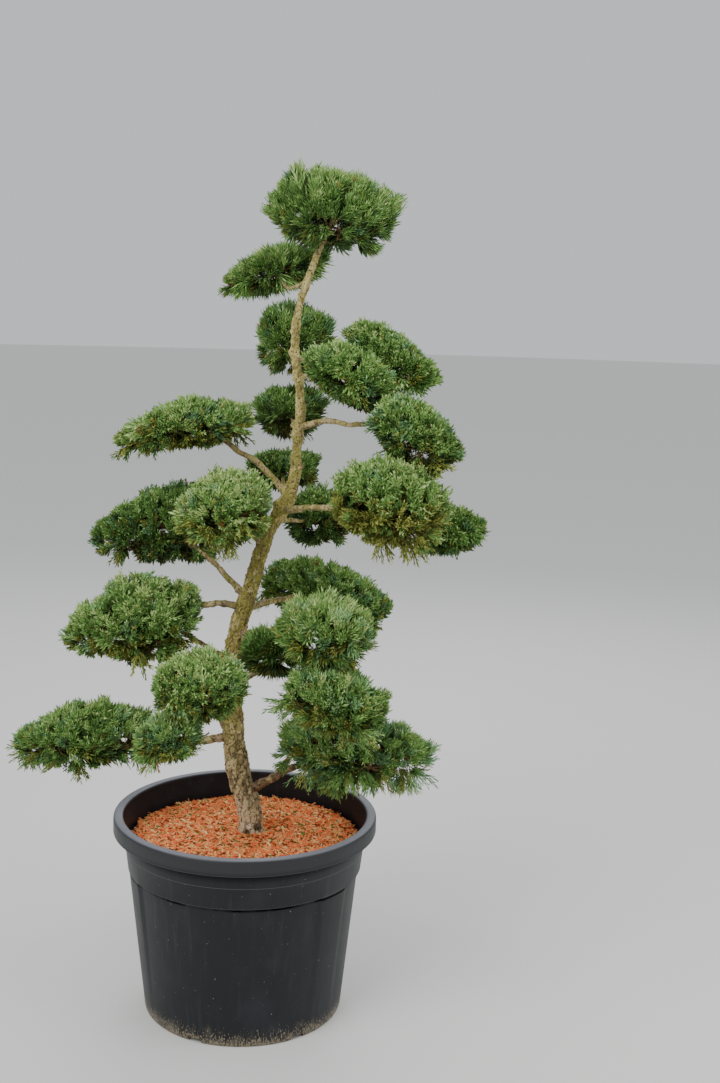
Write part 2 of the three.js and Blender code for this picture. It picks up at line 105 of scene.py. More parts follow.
# Lamps: name, place in metres, and power as a share of the key light's
LAMPS = [
    ("key", (-2.2, -3.0, 4.2), 1.0),
    ("fill", (3.2, -1.0, 3.0), 0.35),
    ("back", (0.5, 3.5, 3.5), 0.4),
]
LAMP_SIZE = 3.0
FLOOR_RADIUS = 40.0

# Pot, in metres
POT_HEIGHT = POT_HIGH.z
RIM_RADIUS = POT_HIGH.x
BASE_RADIUS = 235 * MM
SHOULDER_RADIUS = 284 * MM  # of the wall where it meets the lip
LIP_HEIGHT = 38 * MM
LIP_BOTTOM = POT_HEIGHT - LIP_HEIGHT
LIP_ROUND = 14 * MM
LIP_SQUARE = 0.5  # 1 rounds the lip like an ellipse, and less makes it flatter on top
WALL = 5 * MM
FLOOR = 12 * MM
EDGE = 2.5 * MM  # how far the pot's edges are rounded
BAND_HEIGHT = 400 * MM
BAND_STEP = 1.5 * MM
LEDGE_HEIGHT = 349 * MM
PANEL_COUNT = 3
FIRST_RIB = math.radians(-157)
RIB_SHARE = 0.16  # half a rib, as a share of the way from its middle to its panel's middle
RIB_SIDE = (0.93 * RIB_SHARE, 1.07 * RIB_SHARE)  # where the rib ends and the panel is full
GROOVE_DROP = 5 * MM  # how far under the ledge the groove in each panel lies
GROOVE_DEPTH = 4 * MM
GROOVE_WIDTH = 3.2 * MM
GROOVE_END = (0.3, 0.5)  # where the groove starts and is full, measured like RIB_SHARE
SHARP_ANGLE = math.radians(38)  # edges that turn by more are shaded sharp
NOTCH_COUNT = 6
NOTCH_WIDTH = 33 * MM
NOTCH_HEIGHT = 10 * MM
NOTCH_INNER_RADIUS = 205 * MM
FIRST_NOTCH = math.radians(-113)

MULCH_DROP = 4 * MM  # how far below the soil's level the mulch meets the wall
MULCH_SIDES = 64

# Limits of the turn of a mulch chip in radians, and of its stretch, along X, Y and Z
CHIP_TURN = ((-0.45, -0.40, 0.0), (0.45, 0.40, 2 * math.pi))
CHIP_STRETCH = ((0.35, 0.45, 0.5), (1.5, 1.5, 1.4))
CHIP_BEND = 5 * MM
CHIP_BEND_GRAIN = 9 * MM

# Trunk, in mm: [x, y, height, radius] from below the mulch up to the tip
TRUNK_STATIONS = [
    [15, -6, 396, 25],
    [9, -3, 484, 27],
    [-19, 3, 568, 27],
    [-30, 5, 640, 25],
    [-34, 4, 745, 21.5],
    [-31, 0, 875, 19.5],
    [-20, -5, 940, 20],
    [2, -8, 1012, 18],
    [43, 0, 1150, 16],
    [82, 7, 1216, 17],
    [98, 5, 1268, 13.5],
    [103, 0, 1338, 11.5],
    [110, -5, 1450, 10.7],
    [95, 5, 1570, 10],
    [102, 0, 1656, 8],
    [140, 0, 1778, 7.5],
]
SOIL_LEVEL = 418 * MM
FLARE = 0.16  # how much wider the trunk is at the soil, as a share of its radius
FLARE_HEIGHT = 30 * MM  # over which the flare fades
ROOT_LOBES = 5
ROOT_LOBE_DEPTH = 0.12
BOUGH_TAPER = 0.45  # how much of its radius a bough loses up to its end
COLLAR = 0.4  # how much wider a bough is where it leaves the trunk
COLLAR_SHARE = 0.08  # of its length, over which the collar fades
# Knobs and pruned stubs on the trunk: [height in mm, direction in degrees, size in mm]
KNOBS = [
    [613, -30, 7],
    [675, -60, 5],
    [746, 170, 4],
    [890, 200, 4],
    [987, 150, 4],
    [1211, 185, 9],
    [1299, -10, 5],
    [1376, 170, 5],
    [1417, -80, 3],
    [1498, 180, 4],
    [1558, 190, 5],
    [1605, 175, 4],
    [1685, 180, 4],
]
KNOB_WIDTH = 1.4 * MM  # for each mm of a knob's size

# Bark relief
THICK_LIMB = 12 * MM  # thinner limbs have less relief
FOOT_TOP = 520 * MM  # below this height the plates are long strips
FOOT_STRETCH = 0.35
OLD_BARK = (0.80, 1.30)  # metres above the ground between which plates and cracks fade
YOUNG_CRACKS = 0.1  # how much of them stays above
YOUNG_PLATES = 0.15
CRACK_WIDTH = 0.14  # as a share of a plate
# The crack tone is painted shade in the bark's cracks
CRACK_TONE = 0.8  # how dark the deepest cracks are
CELL_SPREAD = 7.3  # sets plates' centres far enough apart to get a tone each
PLATE_WANDER = 0.7  # how far plates stray from a regular pattern, in plates
PLATE_WANDER_GRAIN = 40 * MM
LUMPS = [(34 * MM, 1.0), (13 * MM, 0.5), (5 * MM, 0.9)]  # size and strength of each kind

# Foliage: each mass's middle, half sizes along, across and up in mm, tilt in degrees, the arch
# in mm of its ends, and how much of its girth it loses towards its nose, to the left where that
# is under 0. A fan is a crown whose sprays open upwards. Its bough leaves the trunk at the fork
# height, or its parent mass's bough at a share of its length, strays from a straight line by
# the bow in mm, and has a radius in mm. The tint picks the mass's mix of greens, hang is the
# share of its lower tufts that hang down, and plume is how much longer and finer its sprays
# are than others.
MASSES = [
    {"place": "crown", "middle": (174, 0, 1858), "half": (152, 122, 102), "tilt": -8, "fan": True,
     "on_tip": True, "radius": 7.5, "tint": "fresh", "plume": 1.4},
    {"place": "upper_left", "middle": (34, 130, 1736), "half": (136, 80, 50), "nose": -0.5,
     "tilt": 17, "arch": 8, "fork": 1722, "bow": (0, 0, -50), "radius": 5, "tint": "fresh",
     "plume": 1.4},
    {"place": "upper_back", "middle": (87, 150, 1578), "half": (96, 84, 88), "tilt": 0,
     "fork": 1560, "bow": (0, 0, -12), "radius": 5, "tint": "mid", "plume": 1.4},
    {"place": "middle_back", "middle": (74, 200, 1407), "half": (96, 84, 60), "tilt": 5,
     "fork": 1372, "bow": (0, 0, -10), "radius": 5.5, "tint": "deep", "plume": 1.3},
    {"place": "centre_back", "middle": (60, 230, 1263), "half": (92, 84, 52), "tilt": 4,
     "fork": 1205, "bow": (0, 0, 10), "radius": 6.5, "tint": "mid"},
    {"place": "high_left", "middle": (-164, 40, 1382), "half": (172, 98, 66), "nose": -0.5, "tilt": 12,
     "arch": 24, "fork": 1232, "bow": (0, 20, 50), "radius": 8, "tint": "cones"},
    {"place": "middle_left_back", "middle": (-219, 170, 1124), "half": (184, 106, 104),
     "nose": -0.5, "tilt": 10, "arch": 6, "fork": 990, "bow": (20, 30, 10), "radius": 8, "tint": "deep"},
    {"place": "middle_left", "middle": (-52, -96, 1208), "half": (120, 94, 92), "nose": -0.25, "tilt": 16,
     "arch": 8, "fork": 1120, "bow": (0, -20, 6), "radius": 7, "tint": "light"},
    {"place": "low_left", "middle": (-262, -40, 935), "half": (170, 116, 110), "nose": -0.55, "tilt": 12,
     "arch": 6, "fork": 968, "bow": (0, 0, 55), "radius": 8, "tint": "cones"},
    {"place": "front", "middle": (-81, -290, 854), "half": (112, 98, 82), "tilt": 4, "arch": 6,
     "fork": 768, "bow": (0, 0, 24), "radius": 8, "tint": "cones"},
    {"place": "front_low", "middle": (-146, -262, 732), "half": (80, 72, 54), "tilt": 18,
     "arch": 4, "parent": "front", "share": 0.4, "bow": (0, 0, -6), "radius": 4.5,
     "tint": "blue", "hang": 0.40, "plume": 1.15},
    {"place": "lowest_left", "middle": (-386, -30, 656), "half": (174, 104, 80), "nose": -0.5, "tilt": 9,
     "arch": 8, "fork": 660, "bow": (0, 0, -46), "radius": 9, "tint": "mid", "hang": 0.28,
     "plume": 1.15},
    {"place": "high_right_back", "middle": (315, 130, 1542), "half": (130, 86, 64), "nose": 0.25, "tilt": -32,
     "fork": 1500, "bow": (0, 0, 26), "radius": 6, "tint": "fresh"},
    {"place": "high_right", "middle": (222, -118, 1511), "half": (114, 86, 66), "tilt": -27,
     "arch": 6, "fork": 1545, "bow": (0, 0, 14), "radius": 6, "tint": "fresh"},
    {"place": "high_right_tip", "middle": (364, -172, 1390), "half": (114, 91, 77), "tilt": -37,
     "fork": 1390, "bow": (0, 0, 45), "radius": 7, "tint": "mid"},
    {"place": "middle_right_back", "middle": (153, 170, 1157), "half": (87, 78, 76), "tilt": 0,
     "fork": 1172, "bow": (0, 0, -6), "radius": 6, "tint": "deep"},
    {"place": "middle_right", "middle": (314, -226, 1252), "half": (136, 102, 98), "tilt": -12,
     "arch": 10, "fork": 1200, "bow": (0, 0, 0), "radius": 8, "tint": "open"},
    {"place": "middle_right_tip", "middle": (456, -46, 1166), "half": (90, 82, 62), "nose": 0.45, "tilt": 8,
     "parent": "middle_right", "share": 0.4, "bow": (0, 0, -6), "radius": 5, "tint": "mid"},
    {"place": "low_right_back", "middle": (170, 230, 953), "half": (172, 106, 84), "tilt": -18,
     "arch": 8, "fork": 966, "bow": (0, 0, 18), "radius": 8, "tint": "mid"},
    {"place": "low_right", "middle": (184, -236, 968), "half": (112, 92, 80), "tilt": -10,
     "arch": 4, "fork": 905, "bow": (0, 0, 22), "radius": 7, "tint": "sunny", "plume": 1.3},
    {"place": "low_right_inner", "middle": (62, -138, 898), "half": (70, 56, 56), "tilt": 0,
     "fork": 862, "bow": (0, 0, 4), "radius": 5, "tint": "deep", "plume": 1.4},
    {"place": "low_right_tip", "middle": (208, -262, 822), "half": (122, 94, 82), "tilt": -20,
     "fork": 782, "bow": (0, 50, 90), "radius": 8, "tint": "cones", "plume": 1.2},
    {"place": "lowest_right", "middle": (254, -70, 660), "half": (186, 112, 92), "nose": 0.35, "tilt": -5,
     "arch": 10, "fork": 522, "bow": (0, 0, 24), "radius": 10.5, "tint": "blue", "hang": 0.30,
     "plume": 1.3},
    {"place": "back_low_left", "middle": (-147, 250, 704), "half": (104, 96, 68), "nose": -0.3, "tilt": 6,
     "arch": 4, "fork": 640, "bow": (0, 0, 20), "radius": 8, "tint": "mid"},
    {"place": "back_low_right", "middle": (201, 240, 692), "half": (106, 98, 64), "nose": 0.3, "tilt": -6,
     "arch": 4, "parent": "lowest_right", "share": 0.3, "bow": (0, 0, 10), "radius": 6.5,
     "tint": "mid"},
]
SECOND_BOUGHS = [
    {"place": "low_left", "fork": 838, "bow": (0, -24, 40), "radius": 7},
]

# The shape of a mass: powers that square off its top, its underside and a fan's underside, and
# bumps all over it, with their depth as a share of its size
TOP_POWER = 2.5
DOME_POWER = 2.1
FAN_POWER = 1.55
BUMP_COUNT = 9
BUMP_SHARPNESS = 14
BUMP_DEPTH = 0.16
BUMP_MEAN = 0.4
TUFT = 19 * MM  # depth of its outer layer, where sprays of the next mass may reach in
ENTRY_MARGIN = 8 * MM  # how much further out than that layer's foot a bough enters the mass
ENTRY_STEP = 0.005
MAIN_TWIGS_PER_SQUARE_METRE = 60
SIDE_TWIG_JITTER = 0.10  # how far twigs stray from an even spread, in radii of the ball
TUFT_JITTER = 0.05

# How each tint is dealt out: the share of its sprays that are glaucous, the share that are
# olive where it faces down, how far it faces down where the olive starts, how far its greens
# lie towards the pale end, and the share of its tufts that bear cones
TINTS = {
    "fresh": {"glaucous": 0.10, "olive": 0.20, "olive_from": 0.45, "pale": 0.04, "cones": 0.06},
    "light": {"glaucous": 0.08, "olive": 0.40, "olive_from": 0.45, "pale": 0.15, "cones": 0.34},
    "mid": {"glaucous": 0.20, "olive": 0.32, "olive_from": 0.45, "pale": 0.01, "cones": 0.05},
    "deep": {"glaucous": 0.12, "olive": 0.28, "olive_from": 0.45, "pale": -0.08, "cones": 0.0},
    "blue": {"glaucous": 0.42, "olive": 0.30, "olive_from": 0.45, "pale": 0.08, "cones": 0.18},
    "cones": {"glaucous": 0.15, "olive": 0.46, "olive_from": 0.45, "pale": 0.07, "cones": 0.30},
    "open": {"glaucous": 0.06, "olive": 0.62, "olive_from": 0.30, "pale": 0.08, "cones": 0.30},
    "sunny": {"glaucous": 0.16, "olive": 0.40, "olive_from": 0.45, "pale": 0.12, "cones": 0.20},
}
OLIVE_ANYWHERE = 0.08
OLIVE_INSIDE = 0.1
OLIVE_RISE = 0.45  # how much further down a mass faces where its olive is in full
RUSTY_SHARE = 0.0018

# Needles from the darkest, in painted shade deep inside a mass, to the palest, in painted light at the tips
# of young shoots
GREENS = ["#344c25", "#486532", "#638943", "#86ad5c", "#b8d086"]
GLAUCOUS = ["#324b31", "#42623e", "#5a8054", "#79a569", "#a5c68f"]
OLIVES = ["#4c4c20", "#727832", "#99a04c"]
RUST = "#94703f"
GREEN_STEPS = 5.4  # shades from the darkest spray to the lightest, before limits
OLIVE_STEPS = 4.2
# What makes a spray paler: painted light from its place towards the surface and from how
# far its tuft faces up, and chance, for its tuft and for itself
OUTER_LIGHT = 0.40
UPPER_LIGHT = 0.26
TUFT_LIGHT = 0.10
OWN_LIGHT = 0.28
BRANCHLET_WIDEST = 0.6  # where a branchlet is widest, as a share of its length
BRANCHLET_FOLD = 0.45  # how far its middle is folded up, as a share of its width

# Twigs: name and colour, and the mix of the three on main and side twigs and on tuft twigs
TWIG_BARKS = [("brown twigs", "#806040"), ("olive twigs", "#8c8542"), ("rusty twigs", "#9f6234")]
OLDER_TWIG_MIX = (0.55, 0.40, 0.05)
YOUNG_TWIG_MIX = (0.2, 0.7, 0.1)


def linear(hex_colour):
    """An sRGB hex colour as the linear RGBA that Blender works in."""
    parts = [int(hex_colour[i:i + 2], 16) / 255 for i in (1, 3, 5)]
    return tuple(p / 12.92 if p <= 0.04045 else ((p + 0.055) / 1.055) ** 2.4 for p in parts) + (1.0,)


def add_node(tree, kind, settings=None, inputs=None):
    """Adds a node, sets its options, and sets or links its inputs."""
    node = tree.nodes.new(kind)
    for name, value in (settings or {}).items():
        setattr(node, name, value)
    for key, value in (inputs or {}).items():
        socket = node.inputs[key]
        if isinstance(value, NodeSocket):
            tree.links.new(value, socket)
        else:
            socket.default_value = value
    return node


def new_material(name):
    """An empty node material with its output node."""
    material = bpy.data.materials.new(name)
    material.use_nodes = True
    tree = material.node_tree
    tree.nodes.clear()
    return material, tree, tree.nodes.new("ShaderNodeOutputMaterial")


def colour_ramp(tree, factor, stops):
    """A colour ramp over a factor, from (place, hex colour) stops."""
    node = add_node(tree, "ShaderNodeValToRGB", inputs={"Fac": factor})
    elements = node.color_ramp.elements
    while len(elements) < len(stops):
        elements.new(0.5)
    for element, (place, colour) in zip(elements, stops):
        element.position = place
        element.color = linear(colour)
    return node.outputs["Color"]


def layered(tree, colour, layers):
    """A colour with others laid over it in turn, each where its mask is 1."""
    for mask, over in layers:
        over = linear(over) if isinstance(over, str) else over
        # Inputs 6 and 7 of a Mix node are its two colours, and output 2 is what comes out
        node = add_node(tree, "ShaderNodeMix", {"data_type": "RGBA"},
                        {"Factor": mask, 6: colour, 7: over})
        colour = node.outputs[2]
    return colour


def calculate(tree, operation, *values, clamped=False):
    """The result of a sum, a product or the like, from numbers or sockets."""
    node = add_node(tree, "ShaderNodeMath", {"operation": operation, "use_clamp": clamped},
                    dict(enumerate(values)))
    return node.outputs["Value"]


def remap(tree, value, start, end, to_start=0.0, to_end=1.0, kind="LINEAR"):
    """A value's place between start and end, moved to between to_start and to_end."""
    node = add_node(tree, "ShaderNodeMapRange", {"interpolation_type": kind},
                    {"Value": value, "From Min": start, "From Max": end,
                     "To Min": to_start, "To Max": to_end})
    return node.outputs["Result"]


def threshold(tree, value, low, high):
    """0 below low, 1 above high, and a smooth rise between them."""
    return remap(tree, value, low, high, kind="SMOOTHSTEP")


def line_at(tree, height, level, half_width):
    """1 in a thin level line and 0 above and below it."""
    away = calculate(tree, "ABSOLUTE", calculate(tree, "SUBTRACT", height, level))
    return remap(tree, away, 0.0, half_width, 1.0, 0.0, "SMOOTHSTEP")


def object_place(tree):
    """The place on the object and its height, both in metres."""
    place = add_node(tree, "ShaderNodeTexCoord").outputs["Object"]
    return place, add_node(tree, "ShaderNodeSeparateXYZ", inputs={"Vector": place}).outputs["Z"]


def object_noise(tree, grain, detail=4.0):
    """Noise on Object coordinates whose lumps measure about grain metres along X, Y and Z."""
    place = add_node(tree, "ShaderNodeTexCoord").outputs["Object"]
    scale = tuple(1 / size for size in grain)
    mapped = add_node(tree, "ShaderNodeMapping", inputs={"Vector": place, "Scale": scale})
    return add_node(tree, "ShaderNodeTexNoise", inputs={
        "Vector": mapped.outputs["Vector"], "Scale": 1.0, "Detail": detail}).outputs["Fac"]


def mesh_attribute(tree, name):
    """A value that the mesh holds for each of its points."""
    return add_node(tree, "ShaderNodeAttribute", {"attribute_name": name}).outputs["Fac"]


def finish_surface(tree, output, colour, roughness, height=None, bump=0.0):
    """A Principled surface, with a bump of a real height in metres where one is given."""
    inputs = {"Base Color": colour, "Roughness": roughness}
    if height is not None:
        raised = add_node(tree, "ShaderNodeBump", inputs={"Height": height, "Distance": bump})
        inputs["Normal"] = raised.outputs["Normal"]
    shader = add_node(tree, "ShaderNodeBsdfPrincipled", inputs=inputs)
    tree.links.new(shader.outputs["BSDF"], output.inputs["Surface"])
    return shader


def painted_shade_under_steps(tree, height, radius):
    """1 in the painted shade on the wall, even under the lip and broken under the ledge."""
    outside = threshold(tree, radius, SHOULDER_RADIUS - 3 * MM, SHOULDER_RADIUS - 1 * MM)
    broken = object_noise(tree, (60 * MM, 60 * MM, 60 * MM), 3.0)
    # Painted shade: a soft dark band on the wall under the lip's overhang, and a broken dark line in the
    # groove under the ledge, where shade falls
    painted_shade = 0.0
    for level, half_width, shown in (
            (LIP_BOTTOM - 8 * MM, 22 * MM, calculate(tree, "MULTIPLY", outside, 0.6)),
            (LEDGE_HEIGHT - 6 * MM, 6 * MM, remap(tree, broken, 0.38, 0.56, 0.25))):
        line = line_at(tree, height, level, half_width)
        part = calculate(tree, "MULTIPLY", line, shown)
        painted_shade = calculate(tree, "ADD", part, painted_shade, clamped=True)
    return painted_shade


def splashed_soil(tree, height, top, grain, foot_and_top, limits):
    """1 in spots of soil of a grain, which thin out from the base up to the splash's top."""
    spots = object_noise(tree, grain, 6.0)
    more = remap(tree, height, 0.0, top, *foot_and_top)
    return threshold(tree, calculate(tree, "ADD", spots, more), *limits)


def moulded_polyethylene(settings):
    """Injection-moulded black polyethylene, weathered outdoors.

    The eye sees a satin charcoal with faint upright streaks where rain has run, paler scuffed
    patches and specks, a lip painted lighter and painted highlights along its top and edges,
    painted shade under its steps, and soil splashed on the lowest few centimetres.
    """
    material, tree, output = new_material("moulded black polyethylene")
    place, height = object_place(tree)
    flat = add_node(tree, "ShaderNodeVectorMath", {"operation": "MULTIPLY"},
                    {0: place, 1: (1.0, 1.0, 0.0)})
    radius = add_node(tree, "ShaderNodeVectorMath", {"operation": "LENGTH"},
                      {0: flat.outputs["Vector"]}).outputs["Value"]
    streak = object_noise(tree, (14 * MM, 14 * MM, 420 * MM))
    patch = object_noise(tree, (90 * MM, 90 * MM, 120 * MM))
    speck = object_noise(tree, (5 * MM, 5 * MM, 6 * MM), 1.0)
    scuff = tuple(settings.scuff_colour) + (1.0,)
    # Painted light: the lip, which faces up to the light, is painted lighter than the rest of the plastic
    lip = threshold(tree, radius, RIM_RADIUS - 16 * MM, RIM_RADIUS - 6 * MM)
    # Painted highlight along the lip's lower edge
    lip_edge_highlight = line_at(tree, height, LIP_BOTTOM + 1.5 * MM, 2 * MM)
    painted_shade = painted_shade_under_steps(tree, height, radius)
    splash_top = settings.splash_height
    colour = layered(tree, tuple(settings.plastic_colour) + (1.0,), [
        (threshold(tree, streak, 0.52, 0.85), scuff),
        (threshold(tree, patch, 0.45, 0.9), scuff),
        (threshold(tree, speck, 0.77, 0.82), "#8d8f92"),
        # Painted light on the lip
        (lip, "#2a2b2e"),
        # Painted highlight along the top of the rim, where it reflects the bright surround
        (threshold(tree, height, POT_HEIGHT - 3 * MM, POT_HEIGHT), "#7c7e87"),
        # Painted highlights on the lip's lower edge and on the edges of the band and the ledge
        (calculate(tree, "MULTIPLY", lip_edge_highlight, lip), "#4a4b4f"),
        (line_at(tree, height, BAND_HEIGHT, 1.2 * MM), "#4c4f55"),
        (line_at(tree, height, LEDGE_HEIGHT, 1.2 * MM), "#4c4f55"),
        # Painted shade under the lip and the ledge
        (painted_shade, "#020203"),
        (splashed_soil(tree, height, splash_top, (22 * MM, 22 * MM, 34 * MM),
                       (0.22, -0.20), (0.46, 0.95)), "#615a4d"),
        (splashed_soil(tree, height, splash_top, (2.6 * MM, 2.6 * MM, 7 * MM),
                       (0.17, -0.13), (0.57, 0.70)), "#877b66"),
    ])
    rough = remap(tree, patch, 0.0, 1.0, 0.36, 0.58)
    shader = finish_surface(tree, output, colour, rough, streak, 0.4 * MM)
    # The painted shade also loses its specular, so that its darkness shows
    gloss = remap(tree, painted_shade, 0.0, 1.0, 0.35, 0.0)
    tree.links.new(gloss, shader.inputs["Specular IOR Level"])
    return material


def shredded_bark(name, colour, dark):
    """Shredded and dyed bark: matte, fibrous, with darker grain along each chip."""
    material, tree, output = new_material(name)
    grain = object_noise(tree, (3 * MM, 3 * MM, 3 * MM), 3.0)
    tone = colour_ramp(tree, grain, [(0.35, dark), (0.62, colour)])
    shader = finish_surface(tree, output, tone, 0.9, grain, 0.8 * MM)
    shader.inputs["Specular IOR Level"].default_value = 0.15
    return material


def juniper_bark(name, stops, moss, moss_share):
    """Juniper bark, dull and rough, coloured by height and mottled all over.

    The eye sees brown and grey-tan mottling a few millimetres across, a film of yellow-green
    moss on the middle of the tree and not at its foot, pale flakes, and painted shade in the
    cracks that the crack attribute of its mesh marks.
    """
    material, tree, output = new_material(name)
    share = remap(tree, object_place(tree)[1], SOIL_LEVEL, CAD_HIGH.z)
    mottle = object_noise(tree, (9 * MM, 9 * MM, 15 * MM), 6.0)
    blotch = object_noise(tree, (9 * MM, 9 * MM, 17 * MM), 7.0)
    flake = object_noise(tree, (6 * MM, 6 * MM, 16 * MM), 5.0)
    speck = object_noise(tree, (3.5 * MM, 3.5 * MM, 4.5 * MM), 3.0)
    plate = mesh_attribute(tree, "plate")
    mossy = threshold(tree, blotch, 0.60 - moss_share / 2, 0.70 - moss_share / 2)
    moss_heights = colour_ramp(tree, share, [
        (0.10, "#000000"), (0.20, "#ffffff"), (0.52, "#ffffff"), (0.70, "#bababa")])
    colour = layered(tree, colour_ramp(tree, share, stops), [
        (remap(tree, plate, 0.1, 0.6, 0.0, 0.65), "#d0bd86"),
        (remap(tree, plate, -0.1, -0.6, 0.0, 0.65), "#7a6a3c"),
        (threshold(tree, mottle, 0.50, 0.68), "#715c3a"),
        (calculate(tree, "MULTIPLY", mossy, moss_heights), moss),
        (threshold(tree, flake, 0.58, 0.78), "#cbba80"),
        (threshold(tree, speck, 0.55, 0.66), "#4c3b20"),
        # Painted shade in the cracks
        (mesh_attribute(tree, "crack"), "#2a2012"),
    ])
    finish_surface(tree, output, colour, 0.88, speck, 1.0 * MM)
    return material


def twig_bark(name, colour):
    """The smooth, matte skin of young twigs or of cones, in one colour."""
    material, tree, output = new_material(name)
    finish_surface(tree, output, linear(colour), 0.75)
    return material


def needle_sprays():
    """Scale-like juniper needles, waxy and half matte.

    One plain colour for each step of painted light and shade and each kind of growth, dealt out by spray.
    """
    made = []
    for index, colour in enumerate([*GREENS, *GLAUCOUS, *OLIVES, RUST]):
        material, tree, output = new_material(f"juniper needles {index + 1}")
        shader = finish_surface(tree, output, linear(colour), 0.6)
        shader.inputs["Specular IOR Level"].default_value = 0.3
        made.append(material)
    return made


def new_object(name, data):
    """A new object in the scene that holds a mesh, a lamp or a camera."""
    made = bpy.data.objects.new(name, data)
    bpy.context.scene.collection.objects.link(made)
    return made


def add_piece(name, mesh, materials, nodes=()):
    """A piece at the origin that rides on the tree's one body and replaces CAD nodes."""
    piece = new_object(name, mesh)
    for material in materials:
        mesh.materials.append(material)
    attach(piece, BODY)
    if nodes:
        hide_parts(*nodes)
    return piece


def mesh_of(name, points, triangles, material_index=None, smooth=False):
    """A mesh from an array of points and one of triangles."""
    mesh = bpy.data.meshes.new(name)
    mesh.vertices.add(len(points))
    mesh.vertices.foreach_set("co", np.ascontiguousarray(points, np.float32).ravel())
    mesh.loops.add(triangles.size)
    mesh.loops.foreach_set("vertex_index", np.ascontiguousarray(triangles, np.int32).ravel())
    mesh.polygons.add(len(triangles))
    mesh.polygons.foreach_set("loop_start", np.arange(0, triangles.size, 3, dtype=np.int32))
    if material_index is not None:
        mesh.polygons.foreach_set("material_index", material_index.astype(np.int32))
    mesh.polygons.foreach_set("use_smooth", np.full(len(triangles), smooth))
    mesh.update(calc_edges=True)
    return mesh


def unit(vectors):
    """Vectors along the last axis, made one long."""
    length = np.linalg.norm(vectors, axis=-1, keepdims=True)
    return vectors / np.maximum(length, 1e-9)


def spiral(count, turn):
    """Directions spread evenly over a sphere along a golden spiral."""
    index = np.arange(count)
    up = 1 - (2 * index + 1) / count
    flat = np.sqrt(1 - up * up)
    angle = index * GOLDEN_ANGLE + turn
    return np.stack([flat * np.cos(angle), flat * np.sin(angle), up], axis=1)


def square_pair(directions, rulers):
    """Two unit directions square to each direction and to each other.

    The first is also square to the vertical, or to the X axis where the ruler is nearly upright.
    """
    flat_enough = np.abs(rulers[..., 2:]) < NEARLY_UPRIGHT
    reference = np.where(flat_enough, [0.0, 0.0, 1.0], [1.0, 0.0, 0.0])
    side = unit(np.cross(directions, reference))
    return side, np.cross(directions, side)


def any_perpendicular(axis, angle):
    """Directions square to each axis, turned round it by an angle."""
    side, across = square_pair(axis, axis)
    return side * np.cos(angle)[:, None] + across * np.sin(angle)[:, None]


def bent_curve(share, start, bend, end):
    """Points at shares of a curve from start to end that leans over towards its bend."""
    return (1 - share) ** 2 * start + 2 * share * (1 - share) * bend + share ** 2 * end


def tube_wall(rings, sides):
    """The triangles of a tube's wall, whose points are numbered ring by ring."""
    ring, turn = np.meshgrid(np.arange(rings - 1), np.arange(sides), indexing="ij")
    after = (turn + 1) % sides
    low_here, low_after = ring * sides + turn, ring * sides + after
    high_here, high_after = low_here + sides, low_after + sides
    first = np.stack([low_here, low_after, high_after], axis=-1).reshape(-1, 3)
    second = np.stack([low_here, high_after, high_here], axis=-1).reshape(-1, 3)
    return np.concatenate([first, second])


def repeated(triangles, count, points_each):
    """The triangles of one item, again for each of many whose points follow one another."""
    start = np.arange(count) * points_each
    return (np.array(triangles)[None] + start[:, None, None]).reshape(-1, 3)


def seeded_random(seed):
    """Numbers from 0 to 1 that are the same on every run for the same seed."""
    state = seed
    while True:
        state = (state * 1664525 + 1013904223) % 2 ** 32
        yield state / 2 ** 32


def catmull_rom(stations, per_span):
    """Points along a centripetal curve through the stations, and the end of the last span."""
    ends = [2 * stations[0] - stations[1], *stations, 2 * stations[-1] - stations[-2]]
    weight = np.arange(per_span)[:, None] / per_span
    spans = []
    for before, start, end, after in zip(ends, ends[1:], ends[2:], ends[3:]):
        step0, step1, step2 = (math.sqrt(np.linalg.norm(b - a))
                               for a, b in ((before, start), (start, end), (end, after)))
        leave = (start - before) / step0 - (end - before) / (step0 + step1) + (end - start) / step1
        reach = (end - start) / step1 - (after - start) / (step1 + step2) + (after - end) / step2
        leave, reach = leave * step1, reach * step1
        square = -3 * start + 3 * end - 2 * leave - reach
        cube = 2 * start - 2 * end + leave + reach
        spans.append(start + weight * leave + weight ** 2 * square + weight ** 3 * cube)
    return np.concatenate([*spans, stations[-1:]])


TRUNK_POINTS = catmull_rom(np.array(TRUNK_STATIONS)[:, :3] * MM, 40)


def trunk_at(height):
    """The point on the trunk's middle line at a height."""
    return np.array([np.interp(height, TRUNK_POINTS[:, 2], TRUNK_POINTS[:, axis])
                     for axis in range(3)])


def trunk_radius(height):
    """The trunk's radius at heights, between the two stations next to each."""
    stations = np.array(TRUNK_STATIONS) * MM
    return np.interp(height, stations[:, 2], stations[:, 3])


